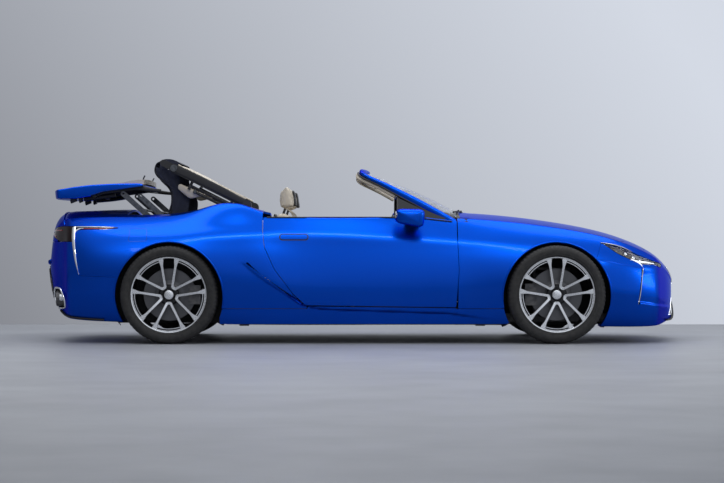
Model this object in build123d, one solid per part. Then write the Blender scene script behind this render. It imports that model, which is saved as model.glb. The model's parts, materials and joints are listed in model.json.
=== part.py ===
from build123d import *
from math import sin, cos, radians, atan2, hypot
import os

# Convertible car with its folding roof half way. +X forward, +Y to the car's left, +Z up, mm.
# Origin on the ground, under the middle of the overall length and width.

# ---- driving dimensions ----
fit_gap = 0.3            # between fixed pieces
move_gap = 6.0           # round doors, lids and other moving pieces
skin_t = 25.0            # bumper, wing and lid wall
grille_t = 28.0
door_in_y = 762.0        # inner face of the doors
handle_depth = 12.0
hinge_zs = (360.0, 700.0)
strap_x0 = 655.0
strap_y1 = 805.0
front_axle_x = 1460.0
rear_axle_x = -1410.0
front_tyre_r = 364.5
rear_tyre_r = 363.5
front_tyre_w = 245.0
rear_tyre_w = 275.0
front_track = 1610.0
rear_track = 1600.0
rim_r = 283.0
rim_bore_r = 262.0
hub_r = 78.0
spoke_pairs = 5
disc_r = 195.0
disc_t = 32.0
axle_pin_r = 32.0
axle_clear = 0.05
front_arch_r = 398.0
rear_arch_r = 400.0
liner_t = 6.0
steer_deg = 32.0         # front wheels' lock each way
pad_z = 130.0
kingpin_in = 40.0        # kingpin inboard of the wheel's middle plane
floor_top_z = 200.0
floor_t = 24.0
tunnel_z = 400.0
cabin_front_x = 700.0
cabin_rear_x = -800.0
well_rear_x = -1761.0
well_floor_z = 640.0
cabin_half_w = 735.0
cowl_half_w = 760.0
skirt_top_z = 262.0
well_half_w = 590.0
bonnet_rear_x = 822.0
bonnet_front_x = 2150.0
bonnet_half_w = 700.0
lid_front_x = -1750.0
lid_rear_x = -2262.0
lid_half_w = 600.0
glass_t = 6.0
seat_w = 470.0
seat_y = 370.0
wheel_r = 182.0          # steering wheel
wheel_tilt = 24.0
wheel_y = 370.0
wheel_x = 195.0
wheel_z = 795.0
# roof mechanism, in the side plane
roof_pivot = (-850.0, 1035.0)
roof_link_len = 620.0
roof_rest_deg = 153.4
roof_shut_deg = 29.5     # roof's main link, and the front rail against it, with the roof closed
roof_front_len = 296.0
roof_rail_y = 520.0
front_rail_y = 466.0
rail_t = 26.0
hinge_pin_r = 8.0
roof_pin_r = 12.0
pin_clear = 0.05
drape_half_w = 455.0
front_rail_w = 36.0
bow_r = 14.0
bow_out = 88.0
ball_z = 155.0
engine_len = 760.0
engine_w = 540.0
engine_h = 560.0
frame_z = 150.0
frame_t = 60.0
pipe_r = 26.0
muffler_w = 1120.0
cover_pivot = (-1393.0, 860.0)
cover_arm = (-267.0, 240.0)
cover_pivot_step = (-130.0, 20.0)
cover_front_x = -1632.0
cover_rear_x = -2359.0
cover_half_w = 560.0
cover_link_y = 500.0
link_t = 12.0

# Body sections, one row each: x, bottom z, bottom half width, waist z, waist half width,
# shoulder z, shoulder half width, top z on the centre line
STATIONS = [
    (2392.0, 175.0, 330.0, 330.0, 400.0, 490.0, 330.0, 535.0),
    (2335.0, 148.0, 520.0, 330.0, 640.0, 560.0, 500.0, 606.0),
    (2200.0, 126.0, 690.0, 340.0, 800.0, 648.0, 660.0, 704.0),
    (1960.0, 124.0, 790.0, 370.0, 895.0, 752.0, 735.0, 806.0),
    (1460.0, 132.0, 820.0, 430.0, 944.0, 862.0, 748.0, 914.0),
    (800.0, 140.0, 838.0, 430.0, 914.0, 928.0, 738.0, 980.0),
    (0.0, 140.0, 846.0, 430.0, 906.0, 934.0, 800.0, 985.0),
    (-600.0, 140.0, 850.0, 440.0, 926.0, 956.0, 800.0, 1000.0),
    (-1000.0, 144.0, 850.0, 470.0, 956.0, 1008.0, 760.0, 1024.0),
    (-1410.0, 150.0, 840.0, 490.0, 960.0, 952.0, 730.0, 1000.0),
    (-1800.0, 160.0, 800.0, 500.0, 930.0, 944.0, 690.0, 1006.0),
    (-2120.0, 176.0, 730.0, 520.0, 856.0, 938.0, 630.0, 996.0),
    (-2272.0, 210.0, 620.0, 540.0, 756.0, 918.0, 560.0, 980.0),
    (-2376.0, 440.0, 470.0, 590.0, 540.0, 700.0, 470.0, 735.0),
]


def section(row, t):
    # one closed body section, drawn in by t all round
    x, zb, yb, zw, yw, zh, yh, zt = row
    zb = zb + t
    yb = yb - t
    yw = yw - t
    zh = zh - 0.8 * t
    yh = yh - 0.6 * t
    zt = zt - t
    low = (yb + 0.68 * (yw - yb), zb + 0.5 * (zw - zb))
    high = (yh + 0.74 * (yw - yh), zw + 0.58 * (zh - zw))
    edges = [
        Line((-yb, zb), (yb, zb)),
        ThreePointArc((yb, zb), low, (yw, zw)),
        ThreePointArc((yw, zw), high, (yh, zh)),
        ThreePointArc((yh, zh), (0, zt), (-yh, zh)),
        ThreePointArc((-yh, zh), (-high[0], high[1]), (-yw, zw)),
        ThreePointArc((-yw, zw), (-low[0], low[1]), (-yb, zb)),
    ]
    return Plane.YZ.offset(x) * make_face(edges)


def body_loft(t):
    rows = [list(r) for r in STATIONS]
    rows[0][0] = rows[0][0] - t
    rows[-1][0] = rows[-1][0] + t
    return loft([section(r, t) for r in rows])


def side_prism(points, y0, y1, grow=0.0):
    face = make_face(Polyline(*[(x, -z) for x, z in points], close=True))
    if grow:
        face = offset(face, grow, kind=Kind.INTERSECTION)
    solid = extrude(face, y1 - y0)
    return Pos(0, y0, 0) * (Rot(-90, 0, 0) * solid)


def plan_prism(points, z0, z1):
    face = make_face(Polyline(*points, close=True))
    return Pos(0, 0, z0) * extrude(face, z1 - z0)


def box(x0, x1, y0, y1, z0, z1):
    return Pos((x0 + x1) / 2, (y0 + y1) / 2, (z0 + z1) / 2) * Box(x1 - x0, y1 - y0, z1 - z0)


def y_cyl(x, z, r, y0, y1):
    return Pos(x, (y0 + y1) / 2, z) * (Rot(90, 0, 0) * Cylinder(r, y1 - y0))


def both(shape):
    return shape + mirror(shape, Plane.XZ)


def one(shape):
    # the largest solid of a cut, without slivers
    return max(shape.solids(), key=lambda s: s.volume)


# ---- panel outlines in the side view, (x, z) ----
DOOR = [
    (724, 1100), (724, 800), (735, 543), (715, 272), (-398, 287), (-490, 372),
    (-626, 552), (-702, 718), (-716, 836), (-716, 1100),
]
FENDER = [
    (730, 100), (730, 1200), (2156, 1200), (2156, 700), (2010, 760), (1795, 745), (1752, 618), (1700, 500),
    (1200, 100),
]
LAMP = [(1795, 752), (2010, 775), (2150, 715), (2285, 612), (2250, 572), (2060, 612), (1940, 662)]
REAR_BUMPER = [(-1700, 60), (-1700, 488), (-2080, 505), (-2115, 719), (-2500, 719), (-2500, 60)]
TAIL_BLADE = [(-1800, 846), (-1800, 868), (-2420, 876), (-2420, 806), (-2125, 836)]
TAIL_POST = [(-2098, 520), (-2122, 719), (-2132, 840), (-2160, 840), (-2150, 719), (-2126, 520)]
GRILLE = [(-300, 560), (300, 560), (235, 440), (430, 205), (-430, 205), (-235, 440)]


# windscreen: z, x at the sides, x on the centre line, half width
GLASS = [(955.0, 694.0, 812.0, 652.0), (1268.0, 35.0, 100.0, 520.0)]


def front_prism(points, x0, x1, grow=0.0):
    face = make_face(Polyline(*points, close=True))
    if grow:
        face = offset(face, grow, kind=Kind.INTERSECTION)
    return Pos(x0, 0, 0) * extrude(Plane.YZ * face, x1 - x0)


OUTER = body_loft(0.0)
INNER = body_loft(skin_t)
INNER_SEAT = body_loft(skin_t + fit_gap)
SKIN = OUTER - INNER


def arch_cut(axle_x, r):
    return both(y_cyl(axle_x, 352.0, r, 560.0, 1100.0))


def liner(axle_x, r, y0, y1, cut_z):
    # wheel arch lining, the upper half of a thin drum
    ring = y_cyl(axle_x, 352.0, r + liner_t, y0, y1) - y_cyl(axle_x, 352.0, r, y0 - 5, y1 + 5)
    return ring & box(axle_x - 600, axle_x + 600, y0, y1, cut_z, 900)


def bonnet_plan(grow):
    w = bonnet_half_w + grow
    return plan_prism([
        (bonnet_rear_x - grow, -w), (bonnet_rear_x - grow, w), (1900 + grow, w - 60), (bonnet_front_x + grow, w - 150),
        (bonnet_front_x + grow, -w + 150), (1900 + grow, -w + 60),
    ], 560, 1300)


def lid_plan(grow):
    return box(-2600, lid_front_x + grow, -lid_half_w - grow, lid_half_w + grow, 730 - grow, 1300)


def make_fender():
    f = SKIN & side_prism(FENDER, 300, 1200)
    f = f - bonnet_plan(move_gap)
    f = f - y_cyl(front_axle_x, 352.0, front_arch_r, 300, 1100)
    f = f - side_prism(DOOR, 300, 1200, move_gap)
    f = f - side_prism(LAMP, 300, 1200, fit_gap)
    f = f - box(0, 2400, 0, 640, 0, 560)
    f = f - box(0, bonnet_rear_x - move_gap + fit_gap, 0, cowl_half_w + fit_gap, 700, 1300)
    f = f - box(0, 1300, 0, 1200, 0, skirt_top_z + fit_gap)
    f = one(f)
    f = f + (liner(front_axle_x, front_arch_r, 660, 905, 600) & INNER)
    f = one(f)
    return f


def make_quarter():
    q = SKIN & box(-2600, -300, 0, 1200, 60, 1300)
    q = q - box(-2600, 0, 0, lid_half_w + fit_gap, 60, 1300)
    q = q - side_prism(DOOR, 300, 1200, move_gap)
    q = q - side_prism(REAR_BUMPER, 0, 1200, fit_gap)
    q = q - side_prism(TAIL_BLADE, 0, 1200, fit_gap)
    q = q - side_prism(TAIL_POST, 0, 1200, fit_gap)
    q = q - y_cyl(rear_axle_x, 352.0, rear_arch_r, 300, 1100)
    q = q - box(-1100, 2000, 0, 1200, 0, skirt_top_z + fit_gap)
    # air slot behind the door
    slot = side_prism([(-742, 505), (-728, 520), (-420, 300), (-432, 286)], 860, 1000)
    q = one(q - slot)
    q = q + (liner(rear_axle_x, rear_arch_r, 640, 905, 560) & INNER)
    q = one(q)
    return q


def make_door():
    d = OUTER & side_prism(DOOR, door_in_y, 1200)
    d = d - box(-1000, 1000, 0, 1200, 938, 1400)
    d = d - box(-690, 690, door_in_y + 18, door_in_y + 36, 800, 1000)
    d = d - box(-560, 600, door_in_y - 1, door_in_y + 22, 330, 560)
    # flush handle in its pocket
    pocket = box(-598, -378, 700, 1000, 768, 816) - Pos(0, -handle_depth, 0) * OUTER
    d = d - (pocket - box(-586, -390, 700, 1000, 778, 806))
    # notch for the hinge straps
    for z in hinge_zs:
        d = d - box(strap_x0 - move_gap, 800, door_in_y - 1, strap_y1 + fit_gap, z - 25 - move_gap, z + 25 + move_gap)
    d = one(d)
    return d


def make_mirror():
    profile = Plane.XZ * make_face(Polyline((250, 905), (262, 1006), (300, 1030), (420, 1008), (478, 930),
                                            (440, 880), (300, 888), close=True))
    m = extrude(profile, -150)
    m = Pos(0, 880, 0) * m
    m = fillet(m.edges().filter_by(Axis.Y), 16)
    m = m - box(244, 268, 905, 1015, 915, 995)
    stalk = side_prism([(310, 850), (470, 850), (430, 945), (320, 945)], 800, 900)
    # the foot follows the door's shoulder
    m = (m + stalk) - Pos(0, 0, fit_gap) * OUTER
    return one(m)


def make_bonnet():
    b = SKIN & bonnet_plan(0)
    return one(b)


def make_front_bumper():
    b = SKIN & box(1690, 2500, -1100, 1100, 60, 1100)
    b = b - both(side_prism(FENDER, 300, 1200, fit_gap))
    b = b - box(1000, 2156, -300, 300, 560, 1300)
    b = b - bonnet_plan(move_gap)
    b = b - both(side_prism(LAMP, 300, 1200, fit_gap))
    b = b - front_prism(GRILLE, 1700, 2600)
    b = b - arch_cut(front_axle_x, front_arch_r)
    b = b - box(1000, 1880, -640, 640, 0, 560)
    b = one(b)
    lip = OUTER & box(1900, 2500, -900, 900, 100, 168)
    lip = lip - box(0, 2120, -900, 900, 0, 300)
    # side intakes
    b = b - both(side_prism([(2105, 560), (2150, 555), (2120, 290), (2075, 285)], 600, 1100))
    return one(b + lip)


def make_grille():
    # bars set in a frame that lies on the inside of the bumper's skin
    zone = Pos(-fit_gap, 0, 0) * (INNER_SEAT & front_prism(GRILLE, 2150, 2420, 20))
    zone = zone - body_loft(skin_t + grille_t)
    bars = front_prism(GRILLE, 2150, 2420, 21) - front_prism(GRILLE, 2150, 2420, 1)
    for y in range(-400, 401, 80):
        bars = bars + box(2150, 2420, y - 5, y + 5, 195, 575)
    for z in range(212, 560, 38):
        w = grille_half_width(z) + 10
        bars = bars + box(2150, 2420, -w, w, z - 6, z + 6)
    return one(zone & bars)


def grille_half_width(z):
    if z > 440:
        return 235 + (z - 440) * 65 / 120
    return 235 + (440 - z) * 195 / 235


def make_headlamps():
    lamp = (OUTER - body_loft(90)) & side_prism(LAMP, 430, 1200)
    lamp = lamp - bonnet_plan(move_gap)
    lamp = one(lamp)
    return lamp


def make_tail_lamps():
    lamp = (SKIN & side_prism(TAIL_BLADE, lid_half_w + 8, 1200)) + (SKIN & side_prism(TAIL_POST, 500, 1200))
    return one(lamp)


def make_rear_bumper():
    b = SKIN & side_prism(REAR_BUMPER, -1200, 1200)
    b = b - arch_cut(rear_axle_x, rear_arch_r)
    b = b - both(side_prism(TAIL_POST, 400, 1200, fit_gap))
    b = b - box(-1880, -1000, -640, 640, 0, 560)
    b = one(b)
    fins = box(-2240, -2020, -4, 4, 170, 260)
    for y in (140, 280, 420):
        fins = fins + both(box(-2240, -2020, y - 4, y + 4, 170, 260))
    b = b + (fins & OUTER)
    # tail pipe outlets
    b = b - both(Pos(-2300, 600, 330) * (Rot(0, 90, 0) * Cylinder(66, 400)))
    return one(b)


def make_boot_lid():
    b = SKIN & lid_plan(0)
    return one(b)


def make_tub():
    # floor, tunnel, sills, bulkheads, cowl and the edge of the roof well
    tub = box(cabin_rear_x, cabin_front_x, -cabin_half_w - 20, cabin_half_w + 20, floor_top_z - floor_t, floor_top_z)
    tub = tub + box(cabin_rear_x, cabin_front_x, -130, 130, floor_top_z - floor_t, tunnel_z)
    # sill and skirt in one, hollow along its length
    sill = OUTER & box(-985, 1050, 715, 1200, 100, skirt_top_z)
    sill = sill - box(-960, 1030, 740, 830, 185, skirt_top_z - 20)
    tub = tub + both(sill)
    # bulkheads, with the tunnel cut through them
    tub = tub + box(cabin_front_x, cabin_front_x + 22, -cabin_half_w, cabin_half_w, floor_top_z - floor_t, 860)
    tub = tub + box(cabin_rear_x - 22, cabin_rear_x, -cabin_half_w, cabin_half_w, floor_top_z - floor_t, 960)
    tub = tub - box(cabin_rear_x - 40, cabin_front_x + 40, -110, 110, 0, tunnel_z - 20)
    # hinge pillars and lock pillars
    tub = tub + both(box(640, 722, 690, 752, 176, 900))
    for z in hinge_zs:
        tub = tub + both(box(strap_x0, strap_x0 + 45, 740, strap_y1, z - 25, z + 25))
    tub = tub + both(box(-822, -730, 690, 752, 176, 940))
    # cowl under the windscreen
    cowl = OUTER & box(640, bonnet_rear_x - move_gap, -760, 760, 830, 1300)
    cowl = cowl - box(600, 900, -700, 700, 0, 905)
    cowl = cowl - side_prism(DOOR, 700, 1200, move_gap) - side_prism(DOOR, -1200, -700, move_gap)
    tub = tub + cowl
    # roof well: floor and side walls
    tub = tub + box(well_rear_x - 14, cabin_rear_x, -well_half_w - 14, well_half_w + 14, well_floor_z - 16, well_floor_z)
    tub = tub + both(box(well_rear_x - 14, cabin_rear_x, well_half_w, well_half_w + 14, well_floor_z - 16, 900))
    # rear wall, whose top carries the boot lid's front edge
    seat = box(well_rear_x - 14, well_rear_x, -well_half_w, well_half_w, well_floor_z - 16, 1100) & INNER_SEAT
    # stops that the closed bonnet rests on
    stops = both(box(cabin_front_x, bonnet_rear_x + 70, 560, 600, 800, 1100)) & INNER_SEAT
    tub = (tub & OUTER) + seat + stops
    # jacking pads
    for x in (-860, 900):
        tub = tub + both(box(x - 35, x + 35, 715, 785, pad_z, 180))
    # brackets and pins of the roof's main pivot
    px, pz = roof_pivot
    y0 = roof_rail_y + rail_t + fit_gap
    tub = tub + both(arm_bar(px, well_floor_z + 10, px, pz, 70, y0, well_half_w + 10))
    tub = tub + both(y_cyl(px, pz, roof_pin_r, roof_rail_y - 4, y0 + 2))
    # brackets and pins of the cover's links
    for step in (0, 1):
        cx = cover_pivot[0] + step * cover_pivot_step[0]
        cz = cover_pivot[1] + step * cover_pivot_step[1]
        y0 = cover_link_y + link_t + fit_gap
        tub = tub + both(arm_bar(cx, well_floor_z + 10, cx, cz, 44, y0, well_half_w + 10))
        tub = tub + both(y_cyl(cx, cz, hinge_pin_r, cover_link_y - 4, y0 + 2))
    tub = tub - windscreen_cut()
    return one(tub)


def arm_bar(x0, z0, x1, z1, w, y0, y1):
    # flat bar with round ends, in the side plane
    length = hypot(x1 - x0, z1 - z0)
    bar = extrude(Plane.XY * SlotCenterToCenter(length, w), y1 - y0)
    ang = atan2(z1 - z0, x1 - x0) * 57.29577951308232
    bar = Rot(90, 0, 0) * bar
    bar = Rot(0, -ang, 0) * bar
    return Pos((x0 + x1) / 2, y1, (z0 + z1) / 2) * bar


def polar(p, length, deg):
    return (p[0] + length * cos(radians(deg)), p[1] + length * sin(radians(deg)))


ROOF_HINGE = polar(roof_pivot, roof_link_len, roof_rest_deg)


def make_roof_rails():
    fx, fz = ROOF_HINGE
    px, pz = roof_pivot
    rail = arm_bar(px, pz, fx, fz, 64, roof_rail_y, roof_rail_y + rail_t)
    rail = rail - y_cyl(px, pz, roof_pin_r + pin_clear, 400, 700)
    rail = rail + y_cyl(fx, fz, hinge_pin_r, front_rail_y - 4, roof_rail_y + 2)
    rails = both(rail)
    # bow that joins the rails behind the front hinge
    ux, uz = cos(radians(roof_rest_deg)), sin(radians(roof_rest_deg))
    bx, bz = fx + bow_out * ux, fz + bow_out * uz
    ears = both(arm_bar(fx, fz, bx, bz, 50, roof_rail_y, roof_rail_y + rail_t))
    bow = y_cyl(bx, bz, bow_r, -roof_rail_y - 2, roof_rail_y + 2)
    return one(rails + ears + bow)


def make_roof_front():
    fx, fz = ROOF_HINGE
    deg = roof_rest_deg - 180
    hx, hz = polar((fx, fz), roof_front_len, deg)
    rail = both(arm_bar(fx, fz, hx, hz, front_rail_w, front_rail_y, front_rail_y + rail_t))
    nx, nz = -sin(radians(deg)), cos(radians(deg))
    # the panel starts ahead of the bow when the roof is closed
    a = polar((fx, fz), bow_out * cos(radians(roof_shut_deg)) + bow_r + 2 * move_gap, deg)
    b = (hx, hz)
    up0, up1 = 24, 44
    half = front_rail_y + rail_t
    sheet = side_prism([
        (a[0] + up0 * nx, a[1] + up0 * nz), (b[0] + up0 * nx, b[1] + up0 * nz),
        (b[0] + up1 * nx, b[1] + up1 * nz), (a[0] + up1 * nx, a[1] + up1 * nz)], -half, half)
    post = side_prism([
        (hx - 40, hz + 5), (hx, hz - 15), (b[0] + up1 * nx, b[1] + up1 * nz),
        (b[0] - 60 + up0 * nx, b[1] + 30 + up0 * nz)], -half, half)
    roof = rail + (sheet + post)
    roof = roof - both(y_cyl(fx, fz, hinge_pin_r + pin_clear, 400, 700))
    return one(roof)


def make_roof_drape():
    # rear roof fabric, hanging from the bow to the well; one bent sheet
    fx, fz = ROOF_HINGE
    bx, bz = polar((fx, fz), bow_out, roof_rest_deg)
    top = bz + bow_r + fit_gap
    out = [(bx + 24, top + 9), (bx - 50, top + 9), (-1583, 1338), (-1588, 1296), (-1546, 1246), (-1446, 1184),
           (-1420, 1110), (-1440, 1020), (-1466, 930)]
    back = [(-1457, 927), (-1431, 1018), (-1411, 1112), (-1439, 1191), (-1540, 1254), (-1579, 1300),
            (-1574, 1334), (bx - 48, top), (bx + 24, top)]
    face = make_face(Polyline(*[(x, 0, z) for x, z in out + back], close=True))
    return Pos(0, drape_half_w, 0) * extrude(face, 2 * drape_half_w)


def make_cover():
    # roof well cover, raised and level above the boot lid
    # its rear end leans so that it comes down past the boot lid's front edge
    pts = [(cover_rear_x + 34, 1092), (cover_rear_x, 1150), (-2011, 1188), (-1670, 1198), (cover_front_x, 1190),
           (cover_front_x, 1170), (-1938, 1130), (-2032, 1100), (cover_rear_x + 66, 1088)]
    cover = side_prism(pts, -cover_half_w, cover_half_w)
    cover = cover - side_prism([(cover_rear_x + 60, 1080), (cover_rear_x + 70, 1118), (-2020, 1140), (-1700, 1160),
                                (-1690, 1080)], -cover_half_w + 60, cover_half_w - 60)
    cover = one(cover)
    ax, az = cover_pivot[0] + cover_arm[0], cover_pivot[1] + cover_arm[1]
    sx, sz = ax + cover_pivot_step[0], az + cover_pivot_step[1]
    y0 = cover_link_y + link_t + fit_gap
    ears = both(side_prism([(ax + 24, az - 22), (ax + 20, 1172), (sx - 40, 1150), (sx - 24, sz - 22)], y0, y0 + 18))
    cover = cover + ears
    for x, z in ((ax, az), (sx, sz)):
        cover = cover + both(y_cyl(x, z, hinge_pin_r, cover_link_y - 4, y0 + 2))
    return one(cover)


def make_cover_links(step):
    x0, z0 = cover_pivot[0] + step * cover_pivot_step[0], cover_pivot[1] + step * cover_pivot_step[1]
    x1, z1 = x0 + cover_arm[0], z0 + cover_arm[1]
    link = arm_bar(x0, z0, x1, z1, 40, cover_link_y, cover_link_y + link_t)
    link = link - y_cyl(x0, z0, hinge_pin_r + pin_clear, 400, 700) - y_cyl(x1, z1, hinge_pin_r + pin_clear, 400, 700)
    pair = both(link)
    tie = y_cyl((x0 + x1) / 2, (z0 + z1) / 2, 10, -cover_link_y - 1, cover_link_y + 1)
    return one(pair + tie)


def glass_loft(grow):
    # the glass as a ruled loft between two arcs, made larger by grow for its seat
    faces = []
    for z, xs, xc, ys in GLASS:
        # the pane leans back, so its seat grows more along X than along Z
        z = z + (grow if z > 1000 else -grow)
        xs = xs + 4 * grow
        xc = xc + 4 * grow
        ys = ys + grow
        t = 1.6 * glass_t + 8 * grow
        faces.append(Plane.XY.offset(z) * make_face([
            ThreePointArc((xs, -ys), (xc, 0), (xs, ys)), Line((xs, ys), (xs - t, ys)),
            ThreePointArc((xs - t, ys), (xc - t, 0), (xs - t, -ys)), Line((xs - t, -ys), (xs, -ys))]))
    return loft(faces, ruled=True)


def make_windscreen_glass():
    return glass_loft(0.0)


def windscreen_cut():
    return glass_loft(fit_gap)


def quad_bar(rows):
    # loft of four-point sections, each row: y and four (x, z) corners
    faces = []
    for y, pts in rows:
        faces.append(make_face(Polyline(*[(x, y, z) for x, z in pts], close=True)))
    return loft(faces)


def make_windscreen_frame():
    def pillar():
        low = make_face(Polyline((600, 700, 905), (735, 700, 905), (712, 742, 905), (600, 742, 905), close=True))
        top = make_face(Polyline((-50, 535, 1268), (55, 535, 1268), (38, 575, 1268), (-45, 575, 1268), close=True))
        return loft([low, top], ruled=True)
    head = quad_bar([
        (-560, [(-50, 1245), (48, 1245), (40, 1272), (-45, 1276)]),
        (0, [(-42, 1275), (98, 1272), (78, 1305), (-30, 1312)]),
        (560, [(-50, 1245), (48, 1245), (40, 1272), (-45, 1276)]),
    ])
    frame = both(pillar()) + head
    frame = frame - windscreen_cut()
    return one(frame - Pos(0, 0, fit_gap) * OUTER)


def make_dashboard():
    back = cabin_front_x - fit_gap
    pts = [(back, 600), (back, 890), (639, 904), (560, 910), (430, 896), (370, 860), (365, 790), (420, 700), (520, 640)]
    dash = side_prism(pts, -690 + fit_gap, 690 - fit_gap)
    hood = y_cyl(400, 868, 46, wheel_y - 160, wheel_y + 160)
    start, end = 40 + fit_gap, 230
    mid = (start + end) / 2
    tilt = radians(90 - wheel_tilt)
    column = Cylinder(36, end - start)
    column = Pos(wheel_x + mid * sin(tilt), wheel_y, wheel_z - mid * cos(tilt)) * (Rot(0, 90 + wheel_tilt, 0) * column)
    return one(dash + hood + column)


def make_console():
    z = tunnel_z + fit_gap
    c = side_prism([(400, z), (412, 640), (350, 690), (120, 600), (-420, 570), (-560, 540), (-560, z)], -118, 118)
    c = fillet(c.edges().filter_by(Axis.Y), 8)
    return c


def make_seat():
    base = side_prism([(-20, 300), (-30, 420), (-90, 452), (-440, 402), (-520, 300), (-420, 258), (-60, 258)],
                      -seat_w / 2, seat_w / 2)
    back = side_prism([(-400, 380), (-470, 700), (-520, 980), (-560, 1010), (-640, 1000), (-655, 960), (-600, 640),
                       (-520, 330), (-440, 330)], -seat_w / 2, seat_w / 2)
    head = side_prism([(-484, 1008), (-500, 1120), (-540, 1190), (-575, 1185), (-606, 1100), (-618, 1004), (-560, 990)],
                      -140, 140)
    wing = side_prism([(-60, 330), (-70, 480), (-300, 520), (-440, 500), (-460, 360)], seat_w / 2 - 60, seat_w / 2)
    bolster = side_prism([(-400, 430), (-380, 560), (-450, 900), (-520, 940), (-600, 640), (-520, 400)],
                         seat_w / 2 - 60, seat_w / 2)
    z = floor_top_z + fit_gap
    rails = both(side_prism([(-60, z), (-60, 262), (-480, 262), (-480, z)], 150, 190))
    seat = base + back + head + both(wing) + both(bolster) + rails
    seat = Pos(0, seat_y, 0) * seat
    return one(seat)


def make_rear_seats():
    z = tunnel_z + fit_gap
    x = cabin_rear_x + fit_gap
    cush = side_prism([(-650, z), (-640, 470), (x, 450), (x, z)], -560, 560)
    back = side_prism([(-700, 430), (-735, 880), (x, 900), (x, 430)], -560, 560)
    z0 = floor_top_z + fit_gap
    rest = side_prism([(-650, z0), (-650, z + 5), (-780, z + 5), (-780, z0)], 160, 560)
    rest = both(rest)
    return one(cush + back + rest)


def make_steering_wheel():
    rim = Torus(wheel_r, 15)
    boss = Pos(0, 0, -18) * Cylinder(48, 44)
    arms = Box(2 * wheel_r - 6, 34, 12) + (Pos(0, -wheel_r / 2, 0) * Box(30, wheel_r, 12))
    w = rim + boss + arms
    w = Rot(0, 0, -90) * w
    w = Rot(0, -90 + wheel_tilt, 0) * w
    return one(Pos(wheel_x, wheel_y, wheel_z) * w)


def make_tyre(x, y, r, w, side):
    a = rim_r + fit_gap
    half = w / 2
    pts = [(a, -half + 24), (a + 14, -half + 6), (r - 42, -half), (r - 14, -half + 12), (r, -half + 34),
           (r, half - 34), (r - 14, half - 12), (r - 42, half), (a + 14, half - 6), (a, half - 24)]
    prof = make_face(Polyline(*[(p, 0, q) for p, q in pts], close=True))
    tyre = revolve(prof, Axis.Z)
    tyre = Rot(-90, 0, 0) * tyre
    return Pos(x, y * side, r) * tyre


def make_rim(x, y, r, w, side):
    # made about Z with the outer face up, then turned to face outward
    half = w / 2
    face_z = half - 22
    barrel_pts = [(rim_bore_r, -half + 20), (rim_r, -half + 20), (rim_r, face_z), (rim_bore_r + 6, face_z),
                  (rim_bore_r, face_z - 30)]
    barrel = revolve(make_face(Polyline(*[(p, 0, q) for p, q in barrel_pts], close=True)), Axis.Z)
    hub = Pos(0, 0, face_z - 44) * Cylinder(hub_r, 40)
    rim = barrel + hub
    for k in range(spoke_pairs):
        mid = -90 + 72 * k
        apex = (52 * cos(radians(mid)), 52 * sin(radians(mid)))
        for d in (-19, 19):
            end = ((rim_bore_r + 8) * cos(radians(mid + d)), (rim_bore_r + 8) * sin(radians(mid + d)))
            length = hypot(end[0] - apex[0], end[1] - apex[1])
            ang = atan2(end[1] - apex[1], end[0] - apex[0]) * 57.29577951308232
            bar = Pos((end[0] + apex[0]) / 2, (end[1] + apex[1]) / 2, face_z - 30) * (Rot(0, 0, ang) * Box(length, 20, 36))
            rim = rim + bar
    rim = rim - Pos(0, 0, face_z - 60) * Cylinder(axle_pin_r + axle_clear, 72)
    rim = rim & Cylinder(rim_r, 4 * half)
    disc = Pos(0, 0, face_z - 100) * (Cylinder(disc_r, disc_t) - Cylinder(axle_pin_r + axle_clear, disc_t + 2))
    hat = Pos(0, 0, face_z - 74) * (Cylinder(72, 24) - Cylinder(axle_pin_r + axle_clear, 30))
    rim = rim + hat + disc
    turn = Rot(-90, 0, 0) if side > 0 else Rot(90, 0, 0)
    return Pos(x, y * side, r) * (turn * rim)


def disc_mid(y, w):
    # the brake disc's middle plane, from the tyre's middle plane and width
    return y + w / 2 - 22 - 100


def caliper(x, y, z, disc_y, reach, half):
    # brake caliper behind or ahead of the axle, with its slot for the disc
    x0, x1 = sorted((x + 140 * reach, x + 232 * reach))
    cal = box(x0, x1, disc_y - 40, disc_y + 40, z - half, z + half)
    cal = cal - y_cyl(x, z, disc_r + 6, disc_y - disc_t / 2 - 4, disc_y + disc_t / 2 + 4)
    a0, a1 = sorted((x + 165 * reach, x + 215 * reach))
    return cal + box(a0, a1, y, disc_y - 22, z - 24, z + 24)


def make_knuckle():
    x, y, z = front_axle_x, front_track / 2, front_tyre_r
    disc_y = disc_mid(y, front_tyre_w)
    ky = y - kingpin_in
    pin = y_cyl(x, z, axle_pin_r, ky - 40, disc_y + 50)
    carrier = box(x - 50, x + 50, ky - 60, ky + 17, z - 110, z + 110)
    post = Pos(x, ky, z) * Cylinder(16, 2 * ball_z)
    arm = box(x - 200, x - 40, ky - 60, ky - 30, z - 24, z + 24)
    return one(pin + carrier + post + caliper(x, ky - 60, z, disc_y, -1, 80) + arm)


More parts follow.
